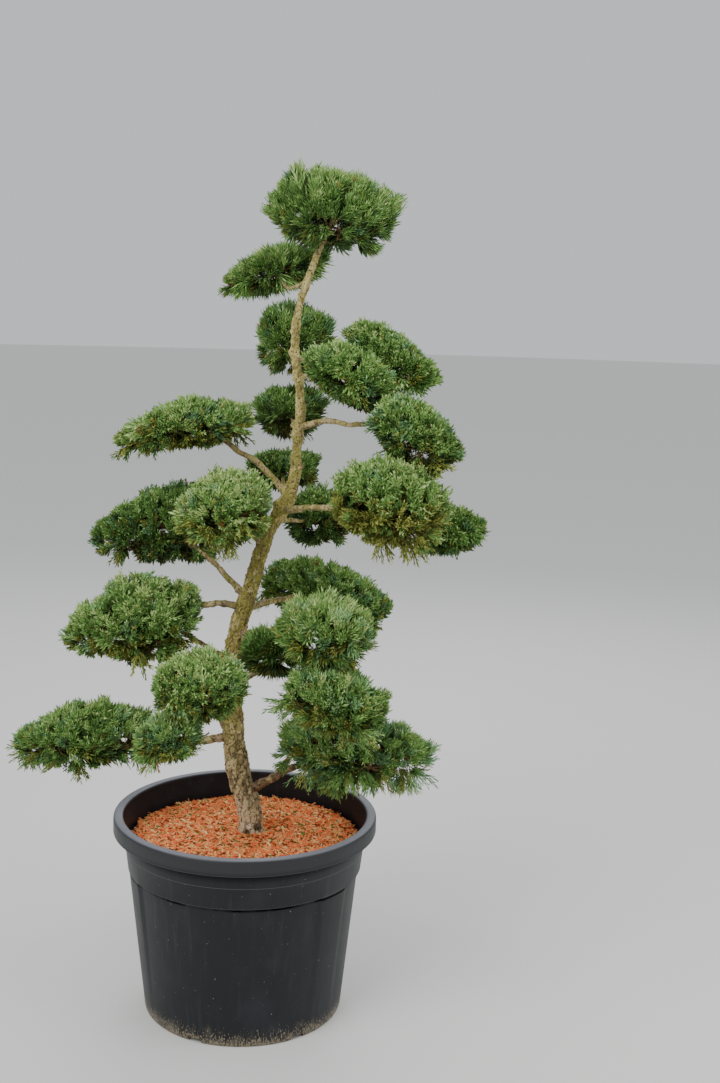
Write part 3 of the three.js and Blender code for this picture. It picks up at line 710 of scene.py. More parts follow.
class Mass:
    """The space of one mass of foliage: a ball stretched, squared off, made lumpy, narrowed
    towards its nose, arched, tilted and moved to its place."""

    def __init__(self, row, index):
        self.place = row["place"]
        self.tint = row["tint"]
        self.fan = row.get("fan", False)
        self.hang = row.get("hang", 0.0 if self.fan else 0.04)
        self.plume = row.get("plume", 1.0)
        self.middle = np.array(row["middle"]) * MM
        self.half = np.array(row["half"]) * MM
        self.arch = row.get("arch", 0) * MM
        self.nose = row.get("nose", 0)
        self.under_power = FAN_POWER if self.fan else DOME_POWER
        self.tilt = np.array(Matrix.Rotation(-math.radians(row["tilt"]), 3, "Y"))
        self.seed = index + 1
        random = seeded_random(self.seed)
        self.bumps = spiral(BUMP_COUNT, next(random) * 2 * math.pi)
        self.turn = next(random) * 2 * math.pi
        x, y, z = self.half
        self.area = 4 * math.pi * (x * y + y * z + z * x) / 3

    def outline(self, ball):
        """How far the shape goes out along unit directions of the ball."""
        power = np.where(ball[:, 2] < 0, self.under_power, TOP_POWER)
        flat = np.hypot(ball[:, 0], ball[:, 1])
        squared = (flat ** power + np.abs(ball[:, 2]) ** power) ** (-1 / power)
        bump = (np.maximum(0, ball @ self.bumps.T) ** BUMP_SHARPNESS).sum(axis=1)
        return squared * (1 + BUMP_DEPTH * (np.minimum(1, bump) - BUMP_MEAN))

    def girth_at(self, along):
        """The share of its width and height that the mass keeps at distances along it."""
        towards_nose = np.sign(self.nose) * along / self.half[0]
        return 1 - abs(self.nose) * np.clip(towards_nose, 0, 1)[:, None]

    def point_at(self, ball, depth):
        """The points in directions of the ball, a depth in from the outline all round."""
        point = ball * self.outline(ball)[:, None] * (self.half - np.reshape(depth, (-1, 1)))
        point[:, 1:] *= self.girth_at(point[:, 0])
        point[:, 2] -= self.arch * (point[:, 0] / self.half[0]) ** 2
        return point @ self.tilt.T + self.middle

    def share_at(self, points, depth):
        """Under 1 where points lie within the outline moved in by a depth."""
        local = (points - self.middle) @ self.tilt
        local[:, 2] += self.arch * (local[:, 0] / self.half[0]) ** 2
        local[:, 1:] /= self.girth_at(local[:, 0])
        local /= self.half - depth
        length = np.maximum(np.linalg.norm(local, axis=1), 1e-9)
        return length / self.outline(local / length[:, None])

    def outward(self, ball):
        """The direction that faces out of the mass for directions of the ball."""
        return unit(ball / self.half) @ self.tilt.T


class Limb:
    """One limb from the trunk's middle line to the heart of its mass."""

    def __init__(self, row, mass, limbs):
        self.mass = mass
        self.radius = row["radius"] * MM
        self.on_tip = row.get("on_tip", False)
        self.parent = next((limb for limb in limbs if limb.mass.place == row.get("parent")), None)
        if self.on_tip:
            self.start = TRUNK_POINTS[-1]
        elif self.parent:
            self.start = self.parent.at(np.array([row["share"]]))[0]
        else:
            self.start = trunk_at(row["fork"] * MM)
        self.bend = (self.start + mass.middle) / 2 + np.array(row.get("bow", (0, 0, 0))) * MM
        self.entry = 0.0
        while not self.on_tip and mass.share_at(self.at(np.array([self.entry])),
                                                TUFT - ENTRY_MARGIN)[0] >= 1:
            self.entry += ENTRY_STEP

    def at(self, share):
        """Points at shares of the limb's length."""
        return bent_curve(share[:, None], self.start, self.bend, self.mass.middle)

    def radius_at(self, share):
        """The limb's radius at shares of its length, wider where it leaves the trunk."""
        collar = 1.0
        if not self.parent and not self.on_tip:
            collar = 1 + COLLAR * np.exp(-share / COLLAR_SHARE)
        return self.radius * (1 - BOUGH_TAPER * share) * collar


def build_skeleton():
    """The masses and limbs of the tree, from the same rows as the frame."""
    masses = [Mass(row, index) for index, row in enumerate(MASSES)]
    limbs = []
    for row in [*MASSES, *SECOND_BOUGHS]:
        mass = next(mass for mass in masses if mass.place == row["place"])
        limbs.append(Limb(row, mass, limbs))
    return masses, limbs


MASS_LIST, LIMB_LIST = build_skeleton()


def bough_name(limb):
    """The CAD node that a limb's outer part stands for."""
    first = next(other for other in LIMB_LIST if other.mass is limb.mass)
    return f"bough_{limb.mass.place}" + ("" if limb is first else "_under")


def lathe(profile, sides, shape=None):
    """A closed mesh turned from (radius, height) points that start and end on the axis."""
    angle = np.arange(sides) * 2 * math.pi / sides
    inner = np.array(profile[1:-1])
    radius = np.repeat(inner[:, :1], sides, axis=1)
    height = np.repeat(inner[:, 1:], sides, axis=1)
    if shape:
        radius = shape(radius, height, angle[None, :])
    rings = np.stack([radius * np.cos(angle), radius * np.sin(angle), height], axis=2)
    poles = [(0, 0, profile[0][1]), (0, 0, profile[-1][1])]
    points = np.concatenate([rings.reshape(-1, 3), poles])
    faces = []
    for ring in range(len(inner) - 1):
        for side in range(sides):
            after = (side + 1) % sides
            low, high = ring * sides, (ring + 1) * sides
            faces.append((low + side, low + after, high + after, high + side))
    last = (len(inner) - 1) * sides
    for side in range(sides):
        after = (side + 1) % sides
        faces.append((len(points) - 2, after, side))
        faces.append((len(points) - 1, last + side, last + after))
    mesh = bpy.data.meshes.new("lathe")
    mesh.from_pydata(points.tolist(), [], faces)
    mesh.update()
    return mesh


def arc(middle, half, start, end, steps, power=1.0):
    """Points along an arc of an ellipse, for a profile. A power under 1 makes it squarer."""
    angles = np.radians(np.linspace(start, end, steps))
    ways = np.stack([np.cos(angles), np.sin(angles)], axis=1)
    ways = np.sign(ways) * np.abs(ways) ** power
    return [tuple(point) for point in np.array(middle) + np.array(half) * ways]


def body_radius(height):
    """The tapered pot's radius at a height, without its steps."""
    return BASE_RADIUS + (SHOULDER_RADIUS - BASE_RADIUS) * height / LIP_BOTTOM


def smoothstep(value, low, high):
    """0 below low, 1 above high, and a smooth rise between them."""
    share = np.clip((value - low) / (high - low), 0, 1)
    return share * share * (3 - 2 * share)


def pot_profile():
    """The pot's section: up the outside, over the rolled lip and down the inside."""
    inside_top = SHOULDER_RADIUS + BAND_STEP
    lip_middle = (RIM_RADIUS + inside_top) / 2
    lip_half = (RIM_RADIUS - inside_top) / 2
    profile = [(0, 0)]
    profile += arc((BASE_RADIUS - 2 * EDGE, 2 * EDGE), (2 * EDGE, 2 * EDGE), -90, 0, 6)
    # Rings lie closer under the ledge, where the groove is
    heights = [*np.linspace(3 * EDGE, LEDGE_HEIGHT - 5 * EDGE, 24),
               *(LEDGE_HEIGHT - drop * EDGE for drop in (4, 3.2, 2.6, 1.4, 0.8))]
    profile += [(body_radius(height), height) for height in heights]
    profile += [(body_radius(LEDGE_HEIGHT) + BAND_STEP, LEDGE_HEIGHT),
                (body_radius(BAND_HEIGHT) + BAND_STEP, BAND_HEIGHT - EDGE),
                (body_radius(BAND_HEIGHT) + 2 * BAND_STEP, BAND_HEIGHT),
                (body_radius(LIP_BOTTOM) + 2 * BAND_STEP, LIP_BOTTOM)]
    profile += arc((RIM_RADIUS - EDGE, LIP_BOTTOM + EDGE), (EDGE, EDGE), -90, 0, 4)
    profile += arc((lip_middle, POT_HEIGHT - LIP_ROUND), (lip_half, LIP_ROUND), 0, 180, 28,
                   LIP_SQUARE)
    profile += [(body_radius(height) - WALL, height) for height in (LIP_BOTTOM, SOIL_LEVEL, FLOOR)]
    return [*profile, (0, FLOOR)]


def pot_shape(settings):
    """Pushes the pot's wall in between its ribs, from the ledge down to the base."""
    def shape(radius, height, angle):
        turns = (angle - FIRST_RIB) / (2 * math.pi) * PANEL_COUNT
        from_rib = np.abs(turns - np.round(turns)) * 2
        panel = smoothstep(from_rib, *RIB_SIDE)
        outside = radius > body_radius(height) - WALL / 2
        below = outside & (height < LEDGE_HEIGHT - 0.5 * MM)
        depth = settings.panel_depth * panel * height / LEDGE_HEIGHT
        near_ledge = np.exp(-((LEDGE_HEIGHT - GROOVE_DROP - height) / GROOVE_WIDTH) ** 2)
        depth = depth + GROOVE_DEPTH * smoothstep(from_rib, *GROOVE_END) * near_ledge
        return radius - np.where(below, depth, 0)
    return shape


def length_setting(name, description, default):
    """A setting that is a length in metres."""
    return FloatProperty(name=name, description=description, default=default, unit="LENGTH")


def colour_setting(name, description, hex_colour):
    """A setting that is a colour, set to an sRGB hex colour."""
    return FloatVectorProperty(name=name, description=description, subtype="COLOR",
                               default=linear(hex_colour)[:3])


class PotSettings(PropertyGroup):
    """Sizes and colours of the pot."""

    sides: IntProperty(name="Sides", description="Facets round the pot", default=192, min=24)
    panel_depth: length_setting(
        "Panel depth", "How deep the three panels lie in the wall", 5 * MM)
    splash_height: length_setting(
        "Splash height", "How high soil is splashed on the wall", 60 * MM)
    plastic_colour: colour_setting("Plastic", "Colour of the clean plastic", "#131418")
    scuff_colour: colour_setting(
        "Scuffs", "Colour where the plastic is rubbed and dull", "#24272e")


class MulchSettings(PropertyGroup):
    """Sizes of the bark mulch."""

    dome: length_setting(
        "Dome", "How much higher the mulch is in the middle than at the wall", 14 * MM)
    chip_length: length_setting("Chip length", "Length of a middling chip", 23 * MM)
    chip_width: length_setting("Chip width", "Width of a middling chip", 3.3 * MM)
    chip_thickness: length_setting("Chip thickness", "Thickness of a middling chip", 2.0 * MM)
    density: FloatProperty(
        name="Density", description="Chips on each square metre, before their colour's share",
        default=13500)


class BarkSettings(PropertyGroup):
    """Relief of the bark."""

    plate_height: length_setting(
        "Plate height", "Height of the plates in which the bark peels", 30 * MM)
    plate_width: length_setting(
        "Plate width", "Width of the plates in which the bark peels", 14 * MM)
    crack_depth: length_setting("Crack depth", "Depth of the cracks between plates", 1.8 * MM)
    plate_depth: length_setting(
        "Plate depth", "How far one plate can stand out of the next", 2.2 * MM)
    lump_depth: length_setting("Lump depth", "How far lumps stand out of a limb", 3.0 * MM)


class FoliageSettings(PropertyGroup):
    """Sizes and numbers of twigs and needles."""

    twigs: FloatProperty(
        name="Twigs", description="Side twigs on each square metre of a mass", default=420)
    tufts: FloatProperty(
        name="Tufts", description="Tufts on each square metre of a mass", default=1080)
    inner_tufts: FloatProperty(
        name="Inner tufts", description="Tufts inside a mass for each one on its surface",
        default=0.33)
    sprays: IntProperty(name="Sprays", description="Sprays in a tuft", default=7, min=1)
    spray_length: length_setting("Spray length", "Length of the longest sprays", 46 * MM)
    needle_length: length_setting(
        "Needle length", "Length of a branchlet of scale-like needles", 16.5 * MM)
    needle_width: length_setting(
        "Needle width", "Width of a branchlet of scale-like needles", 3.7 * MM)
    lift: FloatProperty(
        name="Lift", description="How strongly sprays turn up towards the light", default=1.0)
    cone_size: length_setting("Cone size", "Length of a pollen cone", 5 * MM)


class StageSettings(PropertyGroup):
    """Light, floor and lens."""

    lens: FloatProperty(name="Lens", description="Focal length of the camera in mm",
                        default=47.77)
    floor_colour: colour_setting("Floor", "Colour of the floor", "#e2e2df")
    sky_colour: colour_setting("Surroundings", "Colour of the light from all round", "#dfe2e4")
    sky_strength: FloatProperty(
        name="Surroundings strength", description="Strength of the light from all round",
        default=0.9)
    key_power: FloatProperty(
        name="Key light", description="Power of the large soft light in watts", default=150)


class BonsaiSettings(PropertyGroup):
    """All settings of the bonsai."""

    pot: PointerProperty(type=PotSettings)
    mulch: PointerProperty(type=MulchSettings)
    bark: PointerProperty(type=BarkSettings)
    foliage: PointerProperty(type=FoliageSettings)
    stage: PointerProperty(type=StageSettings)


class BONSAI_OT_build_stage(Operator):
    """Sets up the floor, the soft light and the camera at the photograph's viewpoint"""

    bl_idname = "bonsai.build_stage"
    bl_label = "Stage"

    def execute(self, context):
        settings = context.scene.bonsai.stage
        self.make_floor(settings)
        self.make_light(context, settings)
        self.make_camera(context, settings)
        return {"FINISHED"}

    def make_floor(self, settings):
        """A wide round floor in a pale matte paint."""
        material, tree, output = new_material("pale matte paint")
        colour = tuple(settings.floor_colour) + (1.0,)
        finish_surface(tree, output, colour, 0.8)
        ground = bmesh.new()
        bmesh.ops.create_circle(ground, cap_ends=True, segments=96, radius=FLOOR_RADIUS)
        mesh = bpy.data.meshes.new("floor")
        ground.to_mesh(mesh)
        ground.free()
        mesh.materials.append(material)
        floor = new_object("floor", mesh)

    def make_light(self, context, settings):
        """An even pale surround, a large soft light from the upper left and two weaker ones."""
        world = bpy.data.worlds.new("pale surround")
        world.use_nodes = True
        background = world.node_tree.nodes["Background"]
        background.inputs["Color"].default_value = tuple(settings.sky_colour) + (1.0,)
        background.inputs["Strength"].default_value = settings.sky_strength
        context.scene.world = world
        middle = (CAD_LOW + CAD_HIGH) / 2
        for name, place, share in LAMPS:
            lamp = bpy.data.lights.new(name, "AREA")
            lamp.energy = settings.key_power * share
            lamp.size = LAMP_SIZE
            light = new_object(name, lamp)
            light.location = place
            aim = middle - Vector(place)
            light.rotation_euler = aim.to_track_quat("-Z", "Y").to_euler()

    def make_camera(self, context, settings):
        """The photograph's viewpoint, at eye height and slightly rolled."""
        forward = Vector((0, math.cos(LOOK_DOWN), -math.sin(LOOK_DOWN)))
        level = Vector((1, 0, 0))
        upright = Vector((0, math.sin(LOOK_DOWN), math.cos(LOOK_DOWN)))
        right = math.cos(ROLL) * level - math.sin(ROLL) * upright
        up = math.sin(ROLL) * level + math.cos(ROLL) * upright
        data = bpy.data.cameras.new("camera")
        data.lens = settings.lens
        data.sensor_width = SENSOR_WIDTH
        camera = new_object("camera", data)
        turn = Matrix((right, up, -forward)).transposed()
        camera.matrix_world = Matrix.Translation(EYE) @ turn.to_4x4()
        context.scene.camera = camera


class BONSAI_OT_build_pot(Operator):
    """Turns the pot, presses in its panels and cuts its drainage notches"""

    bl_idname = "bonsai.build_pot"
    bl_label = "Pot"

    def execute(self, context):
        settings = context.scene.bonsai.pot
        mesh = lathe(pot_profile(), settings.sides, pot_shape(settings))
        mesh.name = "moulded_pot"
        piece = add_piece("moulded_pot", mesh, [moulded_polyethylene(settings)], ["pot"])
        self.cut_notches(context, piece)
        for polygon in piece.data.polygons:
            polygon.use_smooth = True
        piece.data.set_sharp_from_angle(angle=SHARP_ANGLE)
        return {"FINISHED"}

    def cut_notches(self, context, piece):
        """Cuts the drainage notches out of the base's edge."""
        cutter_mesh = bmesh.new()
        run = BASE_RADIUS + WALL - NOTCH_INNER_RADIUS
        for index in range(NOTCH_COUNT):
            turn = Matrix.Rotation(FIRST_NOTCH + 2 * math.pi * index / NOTCH_COUNT, 4, "Z")
            place = Matrix.Translation((NOTCH_INNER_RADIUS + run / 2, 0, 0))
            size = Matrix.Diagonal((run, NOTCH_WIDTH, 2 * NOTCH_HEIGHT, 1))
            bmesh.ops.create_cube(cutter_mesh, size=1.0, matrix=turn @ place @ size)
        mesh = bpy.data.meshes.new("notches")
        cutter_mesh.to_mesh(mesh)
        cutter_mesh.free()
        cutter = new_object("notches", mesh)
        cut = piece.modifiers.new("notches", "BOOLEAN")
        cut.operation = "DIFFERENCE"
        cut.solver = "EXACT"
        cut.object = cutter
        graph = context.evaluated_depsgraph_get()
        carved = bpy.data.meshes.new_from_object(piece.evaluated_get(graph), depsgraph=graph)
        piece.modifiers.remove(cut)
        piece.data = carved
        bpy.data.objects.remove(cutter)
        if len(carved.polygons) < len(mesh.polygons):
            raise RuntimeError("the drainage notches emptied the pot")


def chip_tree():
    """Geometry Nodes that scatter bent chips over a surface and make them one mesh."""
    tree = bpy.data.node_groups.new("scatter chips", "GeometryNodeTree")
    interface = tree.interface
    interface.new_socket("Geometry", in_out="INPUT", socket_type="NodeSocketGeometry")
    for name in ("Density", "Length", "Width", "Thickness", "Bend"):
        interface.new_socket(name, in_out="INPUT", socket_type="NodeSocketFloat")
    interface.new_socket("Seed", in_out="INPUT", socket_type="NodeSocketInt")
    interface.new_socket("Material", in_out="INPUT", socket_type="NodeSocketMaterial")
    interface.new_socket("Geometry", in_out="OUTPUT", socket_type="NodeSocketGeometry")
    given = tree.nodes.new("NodeGroupInput").outputs
    points = add_node(tree, "GeometryNodeDistributePointsOnFaces", inputs={
        "Mesh": given["Geometry"], "Density": given["Density"], "Seed": given["Seed"]})
    size = add_node(tree, "ShaderNodeCombineXYZ", inputs={
        "X": given["Length"], "Y": given["Width"], "Z": given["Thickness"]})
    chip = add_node(tree, "GeometryNodeMeshCube", inputs={
        "Size": size.outputs["Vector"], "Vertices X": 3, "Vertices Y": 2, "Vertices Z": 2})
    turn = add_node(tree, "FunctionNodeRandomValue", {"data_type": "FLOAT_VECTOR"}, {
        "Min": CHIP_TURN[0], "Max": CHIP_TURN[1], "Seed": given["Seed"]})
    stretch = add_node(tree, "FunctionNodeRandomValue", {"data_type": "FLOAT_VECTOR"}, {
        "Min": CHIP_STRETCH[0], "Max": CHIP_STRETCH[1], "Seed": given["Seed"]})
    placed = add_node(tree, "GeometryNodeInstanceOnPoints", inputs={
        "Points": points.outputs["Points"], "Instance": chip.outputs["Mesh"],
        "Rotation": turn.outputs["Value"], "Scale": stretch.outputs["Value"]})
    real = add_node(tree, "GeometryNodeRealizeInstances",
                    inputs={"Geometry": placed.outputs["Instances"]})
    spot = add_node(tree, "GeometryNodeInputPosition")
    wave = add_node(tree, "ShaderNodeTexNoise", inputs={
        "Vector": spot.outputs["Position"], "Scale": 1 / CHIP_BEND_GRAIN, "Detail": 1.0})
    centred = add_node(tree, "ShaderNodeVectorMath", {"operation": "SUBTRACT"},
                       {0: wave.outputs["Color"], 1: (0.5, 0.5, 0.5)})
    pushed = add_node(tree, "ShaderNodeVectorMath", {"operation": "SCALE"},
                      {0: centred.outputs["Vector"], "Scale": given["Bend"]})
    bent = add_node(tree, "GeometryNodeSetPosition", inputs={
        "Geometry": real.outputs["Geometry"], "Offset": pushed.outputs["Vector"]})
    dyed = add_node(tree, "GeometryNodeSetMaterial", inputs={
        "Geometry": bent.outputs["Geometry"], "Material": given["Material"]})
    add_node(tree, "NodeGroupOutput", inputs={"Geometry": dyed.outputs["Geometry"]})
    return tree


class BONSAI_OT_build_mulch(Operator):
    """Lays the soil and scatters shredded bark of several colours over it"""

    bl_idname = "bonsai.build_mulch"
    bl_label = "Mulch"

    # Name, colour, its dark grain, its share of the density, and its share of a chip's size
    CHIPS = [
        ("brick chips", "#ff9a62", "#f46e3c", 1.1, 1.0),
        ("rust chips", "#ffc682", "#ff9e54", 0.85, 0.9),
        ("dark chips", "#b04c2a", "#6a301a", 0.40, 0.9),
        ("pale chips", "#ffecb4", "#ffd08a", 0.50, 0.8),
        ("green bits", "#859a48", "#4c6030", 0.14, 1.0),
    ]

    def execute(self, context):
        settings = context.scene.bonsai.mulch
        soil = self.make_soil(settings)
        tree = chip_tree()
        parts = [(soil, shredded_bark("moist soil", "#94533c", "#5c3426"))]
        for index, (name, colour, dark, share, size) in enumerate(self.CHIPS):
            dye = shredded_bark(name, colour, dark)
            mesh = self.scatter(context, settings, tree, {
                "Density": settings.density * share, "Length": settings.chip_length * size,
                "Width": settings.chip_width * size, "Thickness": settings.chip_thickness,
                "Bend": CHIP_BEND, "Seed": index + 1, "Material": dye})
            parts.append((mesh, dye))
        self.join(parts)
        return {"FINISHED"}

    def scatter(self, context, settings, tree, values):
        """The mesh of chips that the node tree makes with these values."""
        top = self.make_top(settings)
        modifier = top.modifiers.new("chips", "NODES")
        modifier.node_group = tree
        for item in tree.interface.items_tree:
            if item.in_out == "INPUT" and item.name in values:
                modifier[item.identifier] = values[item.name]
        graph = context.evaluated_depsgraph_get()
        mesh = bpy.data.meshes.new_from_object(top.evaluated_get(graph), depsgraph=graph)
        bpy.data.objects.remove(top)
        return mesh

    def surface_height(self, radius, settings):
        """Height of the mulch at a distance from the pot's middle."""
        return SOIL_LEVEL - MULCH_DROP + settings.dome * (1 - (radius / SOIL_HIGH.x) ** 2)

    def make_soil(self, settings):
        """The soil down to the pot's floor, with a slightly domed top."""
        top = np.linspace(1, 0, 12)[:-1] * (SOIL_HIGH.x - WALL)
        foot = body_radius(SOIL_LOW.z) - 2 * WALL
        profile = [(0, SOIL_LOW.z), (foot, SOIL_LOW.z)]
        profile += [(radius, self.surface_height(radius, settings)) for radius in top]
        return lathe([*profile, (0, self.surface_height(0, settings))], MULCH_SIDES)

    def make_top(self, settings):
        """The surface that chips lie on, a little in from the wall."""
        mesh = bmesh.new()
        bmesh.ops.create_circle(mesh, cap_ends=True, segments=MULCH_SIDES,
                                radius=SOIL_HIGH.x - settings.chip_length / 2)
        data = bpy.data.meshes.new("mulch top")
        bmesh.ops.poke(mesh, faces=mesh.faces)
        for _ in range(3):
            bmesh.ops.subdivide_edges(mesh, edges=mesh.edges, cuts=1, use_grid_fill=True)
        for vertex in mesh.verts:
            vertex.co.z = self.surface_height(vertex.co.xy.length, settings)
        mesh.to_mesh(data)
        mesh.free()
        return new_object("mulch top", data)

    def join(self, parts):
        """Joins the soil and the chips into one piece."""
        joined = bmesh.new()
        for index, (mesh, _) in enumerate(parts):
            before = len(joined.faces)
            joined.from_mesh(mesh)
            joined.faces.ensure_lookup_table()
            for face in joined.faces[before:]:
                face.material_index = index
        data = bpy.data.meshes.new("bark_mulch")
        joined.to_mesh(data)
        joined.free()
        add_piece("bark_mulch", data, [dye for _, dye in parts], ["soil"])


def knob_places():
    """The middle of each knob on the trunk's bark, with its width and height."""
    places = []
    for height, direction, size in KNOBS:
        turn = math.radians(direction)
        outward = Vector((math.cos(turn), math.sin(turn), 0))
        middle = Vector(trunk_at(height * MM)) + outward * float(trunk_radius(height * MM))
        places.append((middle, KNOB_WIDTH * size, size * MM))
    return places


def knob_height(point, places):
    """How far the knobs of the trunk stand out at a point."""
    return sum(size * math.exp(-((point - middle).length / width) ** 2)
               for middle, width, size in places)


def relief_at(point, settings, strength):
    """How far bark stands out at a point, how deep it is in a crack, which sets the painted shade there, and
    its plate's tone.
    """
    wander = noise.noise_vector(point / PLATE_WANDER_GRAIN) * PLATE_WANDER
    upright = FOOT_STRETCH * min(point.z, FOOT_TOP) + max(0, point.z - FOOT_TOP)
    place = Vector((point.x / settings.plate_width, point.y / settings.plate_width,
                    upright / settings.plate_height)) + wander
    distances, centres = noise.voronoi(place)
    old = 1 - smoothstep(point.z, *OLD_BARK)
    crack = max(0.0, 1 - (distances[1] - distances[0]) / CRACK_WIDTH)
    crack *= YOUNG_CRACKS + (1 - YOUNG_CRACKS) * old
    tone = noise.cell(centres[0] * CELL_SPREAD)
    plate = tone * (YOUNG_PLATES + (1 - YOUNG_PLATES) * old)
    lump = sum(share * noise.noise(point / grain) for grain, share in LUMPS)
    raised = (settings.lump_depth * lump + settings.plate_depth * plate
              - settings.crack_depth * crack)
    return strength * raised, crack * CRACK_TONE, tone


def limb_mesh(name, path, radii, sides, settings, knobs=()):
    """A closed limb along a path, with plates, cracks and knobs in its surface.

    The radii are one for each ring, or one for each of its sides.
    """
    tangents = unit(np.gradient(path, axis=0))
    side = np.cross(tangents[0], (0.0, 1.0, 0.0))
    angles = np.arange(sides) * 2 * math.pi / sides
    points, cracks, plates = [], [], []
    for middle, tangent, ring in zip(path, tangents, np.reshape(radii, (len(path), -1))):
        strength = min(1, float(np.mean(ring)) / THICK_LIMB)
        side = unit(side - tangent * (side @ tangent))
        across = np.cross(tangent, side)
        for index, angle in enumerate(angles):
            outward = side * math.cos(angle) + across * math.sin(angle)
            radius = ring[index % len(ring)]
            spot = Vector(middle + outward * radius)
            raised, crack, plate = relief_at(spot, settings, strength)
            raised += knob_height(spot, knobs)
            points.append(middle + outward * (radius + raised))
            cracks.append(crack)
            plates.append(plate)
    foot, tip = len(points), len(points) + 1
    points += [path[0], path[-1]]
    cracks += [0.0, 0.0]
    plates += [0.0, 0.0]
    around = np.arange(sides)
    after = (around + 1) % sides
    last = (len(path) - 1) * sides
    triangles = np.concatenate([
        tube_wall(len(path), sides),
        np.stack([np.full(sides, foot), after, around], axis=1),
        np.stack([np.full(sides, tip), last + around, last + after], axis=1)])
    mesh = mesh_of(name, np.array(points), triangles, smooth=True)
    # The crack attribute carries the painted shade of the cracks to the bark's material
    mesh.attributes.new("crack", "FLOAT", "POINT").data.foreach_set("value", cracks)
    mesh.attributes.new("plate", "FLOAT", "POINT").data.foreach_set("value", plates)
    return mesh


class BONSAI_OT_build_bark(Operator):
    """Covers the trunk and the boughs with flaking bark"""

    bl_idname = "bonsai.build_bark"
    bl_label = "Trunk and Boughs"

    SEED = 1  # keeps the noise of the bark the same on every run
    TRUNK_SIDES = 72
    RING_STEP = 2.3 * MM
    BOUGH_SIDES = 14
    BOUGH_RINGS = 70
    STRAY = 9 * MM  # how far a bough strays from its smooth curve
    STRAY_GRAIN = 60 * MM

    def execute(self, context):
        settings = context.scene.bonsai.bark
        noise.seed_set(self.SEED)
        self.make_trunk(settings)
        bark = juniper_bark("peeling bough bark", [
            (0.0, "#a07c60"), (0.12, "#a4846a"), (0.24, "#ae967c"), (0.45, "#b09c76"),
            (1.0, "#b59f78")], "#969044", 0.24)
        for limb in LIMB_LIST:
            self.make_bough(limb, bark, settings)
        return {"FINISHED"}

    def make_trunk(self, settings):
        """The trunk, with root flare and lobes, from inside the mulch up to its tip."""
        bark = juniper_bark("flaking trunk bark", [
            (0.0, "#f8e4cc"), (0.035, "#f0dcb8"), (0.06, "#decaa0"), (0.14, "#ccb684"),
            (0.25, "#b29c60"), (0.42, "#a8955a"), (0.5, "#b0a35c"), (0.58, "#b8ab6a"),
            (1.0, "#b8ab6a")], "#979040", 0.30)
        steps = np.linalg.norm(np.diff(TRUNK_POINTS, axis=0), axis=1)
        along = np.concatenate([[0], np.cumsum(steps)])
        even = np.arange(0, along[-1], self.RING_STEP)
        path = np.stack([np.interp(even, along, TRUNK_POINTS[:, axis]) for axis in range(3)],
                        axis=1)
        angles = np.arange(self.TRUNK_SIDES) * 2 * math.pi / self.TRUNK_SIDES
        near_foot = np.exp(-np.maximum(0, path[:, 2] - SOIL_LEVEL) / FLARE_HEIGHT)
        lobes = 1 + ROOT_LOBE_DEPTH * np.cos(ROOT_LOBES * angles)
        radii = trunk_radius(path[:, 2])[:, None] * (1 + FLARE * near_foot[:, None] * lobes)
        mesh = limb_mesh("flaking_trunk", path, radii, self.TRUNK_SIDES, settings, knob_places())
        add_piece("flaking_trunk", mesh, [bark], ["trunk"])

    def make_bough(self, limb, bark, settings):
        """One bough from inside the trunk to the heart of its mass."""
        share = np.linspace(0, 1, self.BOUGH_RINGS)
        path = limb.at(share)
        stray = [noise.noise_vector(Vector(point) / self.STRAY_GRAIN) for point in path]
        path = path + np.array(stray) * (self.STRAY * np.sin(share * math.pi))[:, None]
        name = bough_name(limb)
        mesh = limb_mesh(name, path, limb.radius_at(share), self.BOUGH_SIDES, settings)
        nodes = [] if limb.on_tip else [name]
        add_piece(f"peeling_{name}", mesh, [bark], nodes)


def twig_tubes(paths, thick, thin, sides):
    """Points and triangles of closed tubes along many paths of the same length.

    Each narrows evenly from its thick radius to its thin one.
    """
    count, rings = paths.shape[:2]
    tangents = unit(np.gradient(paths, axis=1))
    side, across = square_pair(tangents, tangents[:, :1])
    angle = np.arange(sides) * 2 * math.pi / sides
    outward = side[:, :, None] * np.cos(angle)[:, None] + across[:, :, None] * np.sin(angle)[:, None]
    points = paths[:, :, None] + outward * np.linspace(thick, thin, rings)[:, None, None]
    fan = np.arange(1, sides - 1)
    last = (rings - 1) * sides
    triangles = np.concatenate([
        tube_wall(rings, sides),
        np.stack([np.zeros_like(fan), fan + 1, fan], axis=1),
        np.stack([np.full_like(fan, last), last + fan, last + fan + 1], axis=1)])
    return points.reshape(-1, 3), repeated(triangles, count, rings * sides)


def twig_order(ends, parents, lean, rings):
    """Curved twigs that run from the best placed spots on parent twigs to their ends."""
    spots = parents[:, 1:-1].reshape(-1, 3)
    headings = unit(np.gradient(parents, axis=1))[:, 1:-1].reshape(-1, 3)
    reach = ends[:, None] - spots[None]
    distance = np.linalg.norm(reach, axis=2)
    along = (reach * headings[None]).sum(axis=2) / np.maximum(distance, 1e-9)
    # A spot whose twig heads away from the end counts as up to twice as far
    best = np.argmin(distance * (1.5 - 0.5 * along), axis=1)
    starts = spots[best]
    span = np.linalg.norm(ends - starts, axis=1, keepdims=True)
    bends = starts + headings[best] * span * lean
    share = np.linspace(0, 1, rings)[None, :, None]
    return bent_curve(share, starts[:, None], bends[:, None], ends[:, None])


def wood_balls():
    """Middles and radii of balls along the trunk and the boughs outside the masses.

    They keep sprays out of the wood.
    """
    middles = [TRUNK_POINTS]
    radii = [trunk_radius(TRUNK_POINTS[:, 2])]
    for limb in LIMB_LIST:
        share = np.linspace(0, limb.entry, 40)
        middles.append(limb.at(share))
        radii.append(limb.radius_at(share))
    return np.concatenate(middles), np.concatenate(radii)


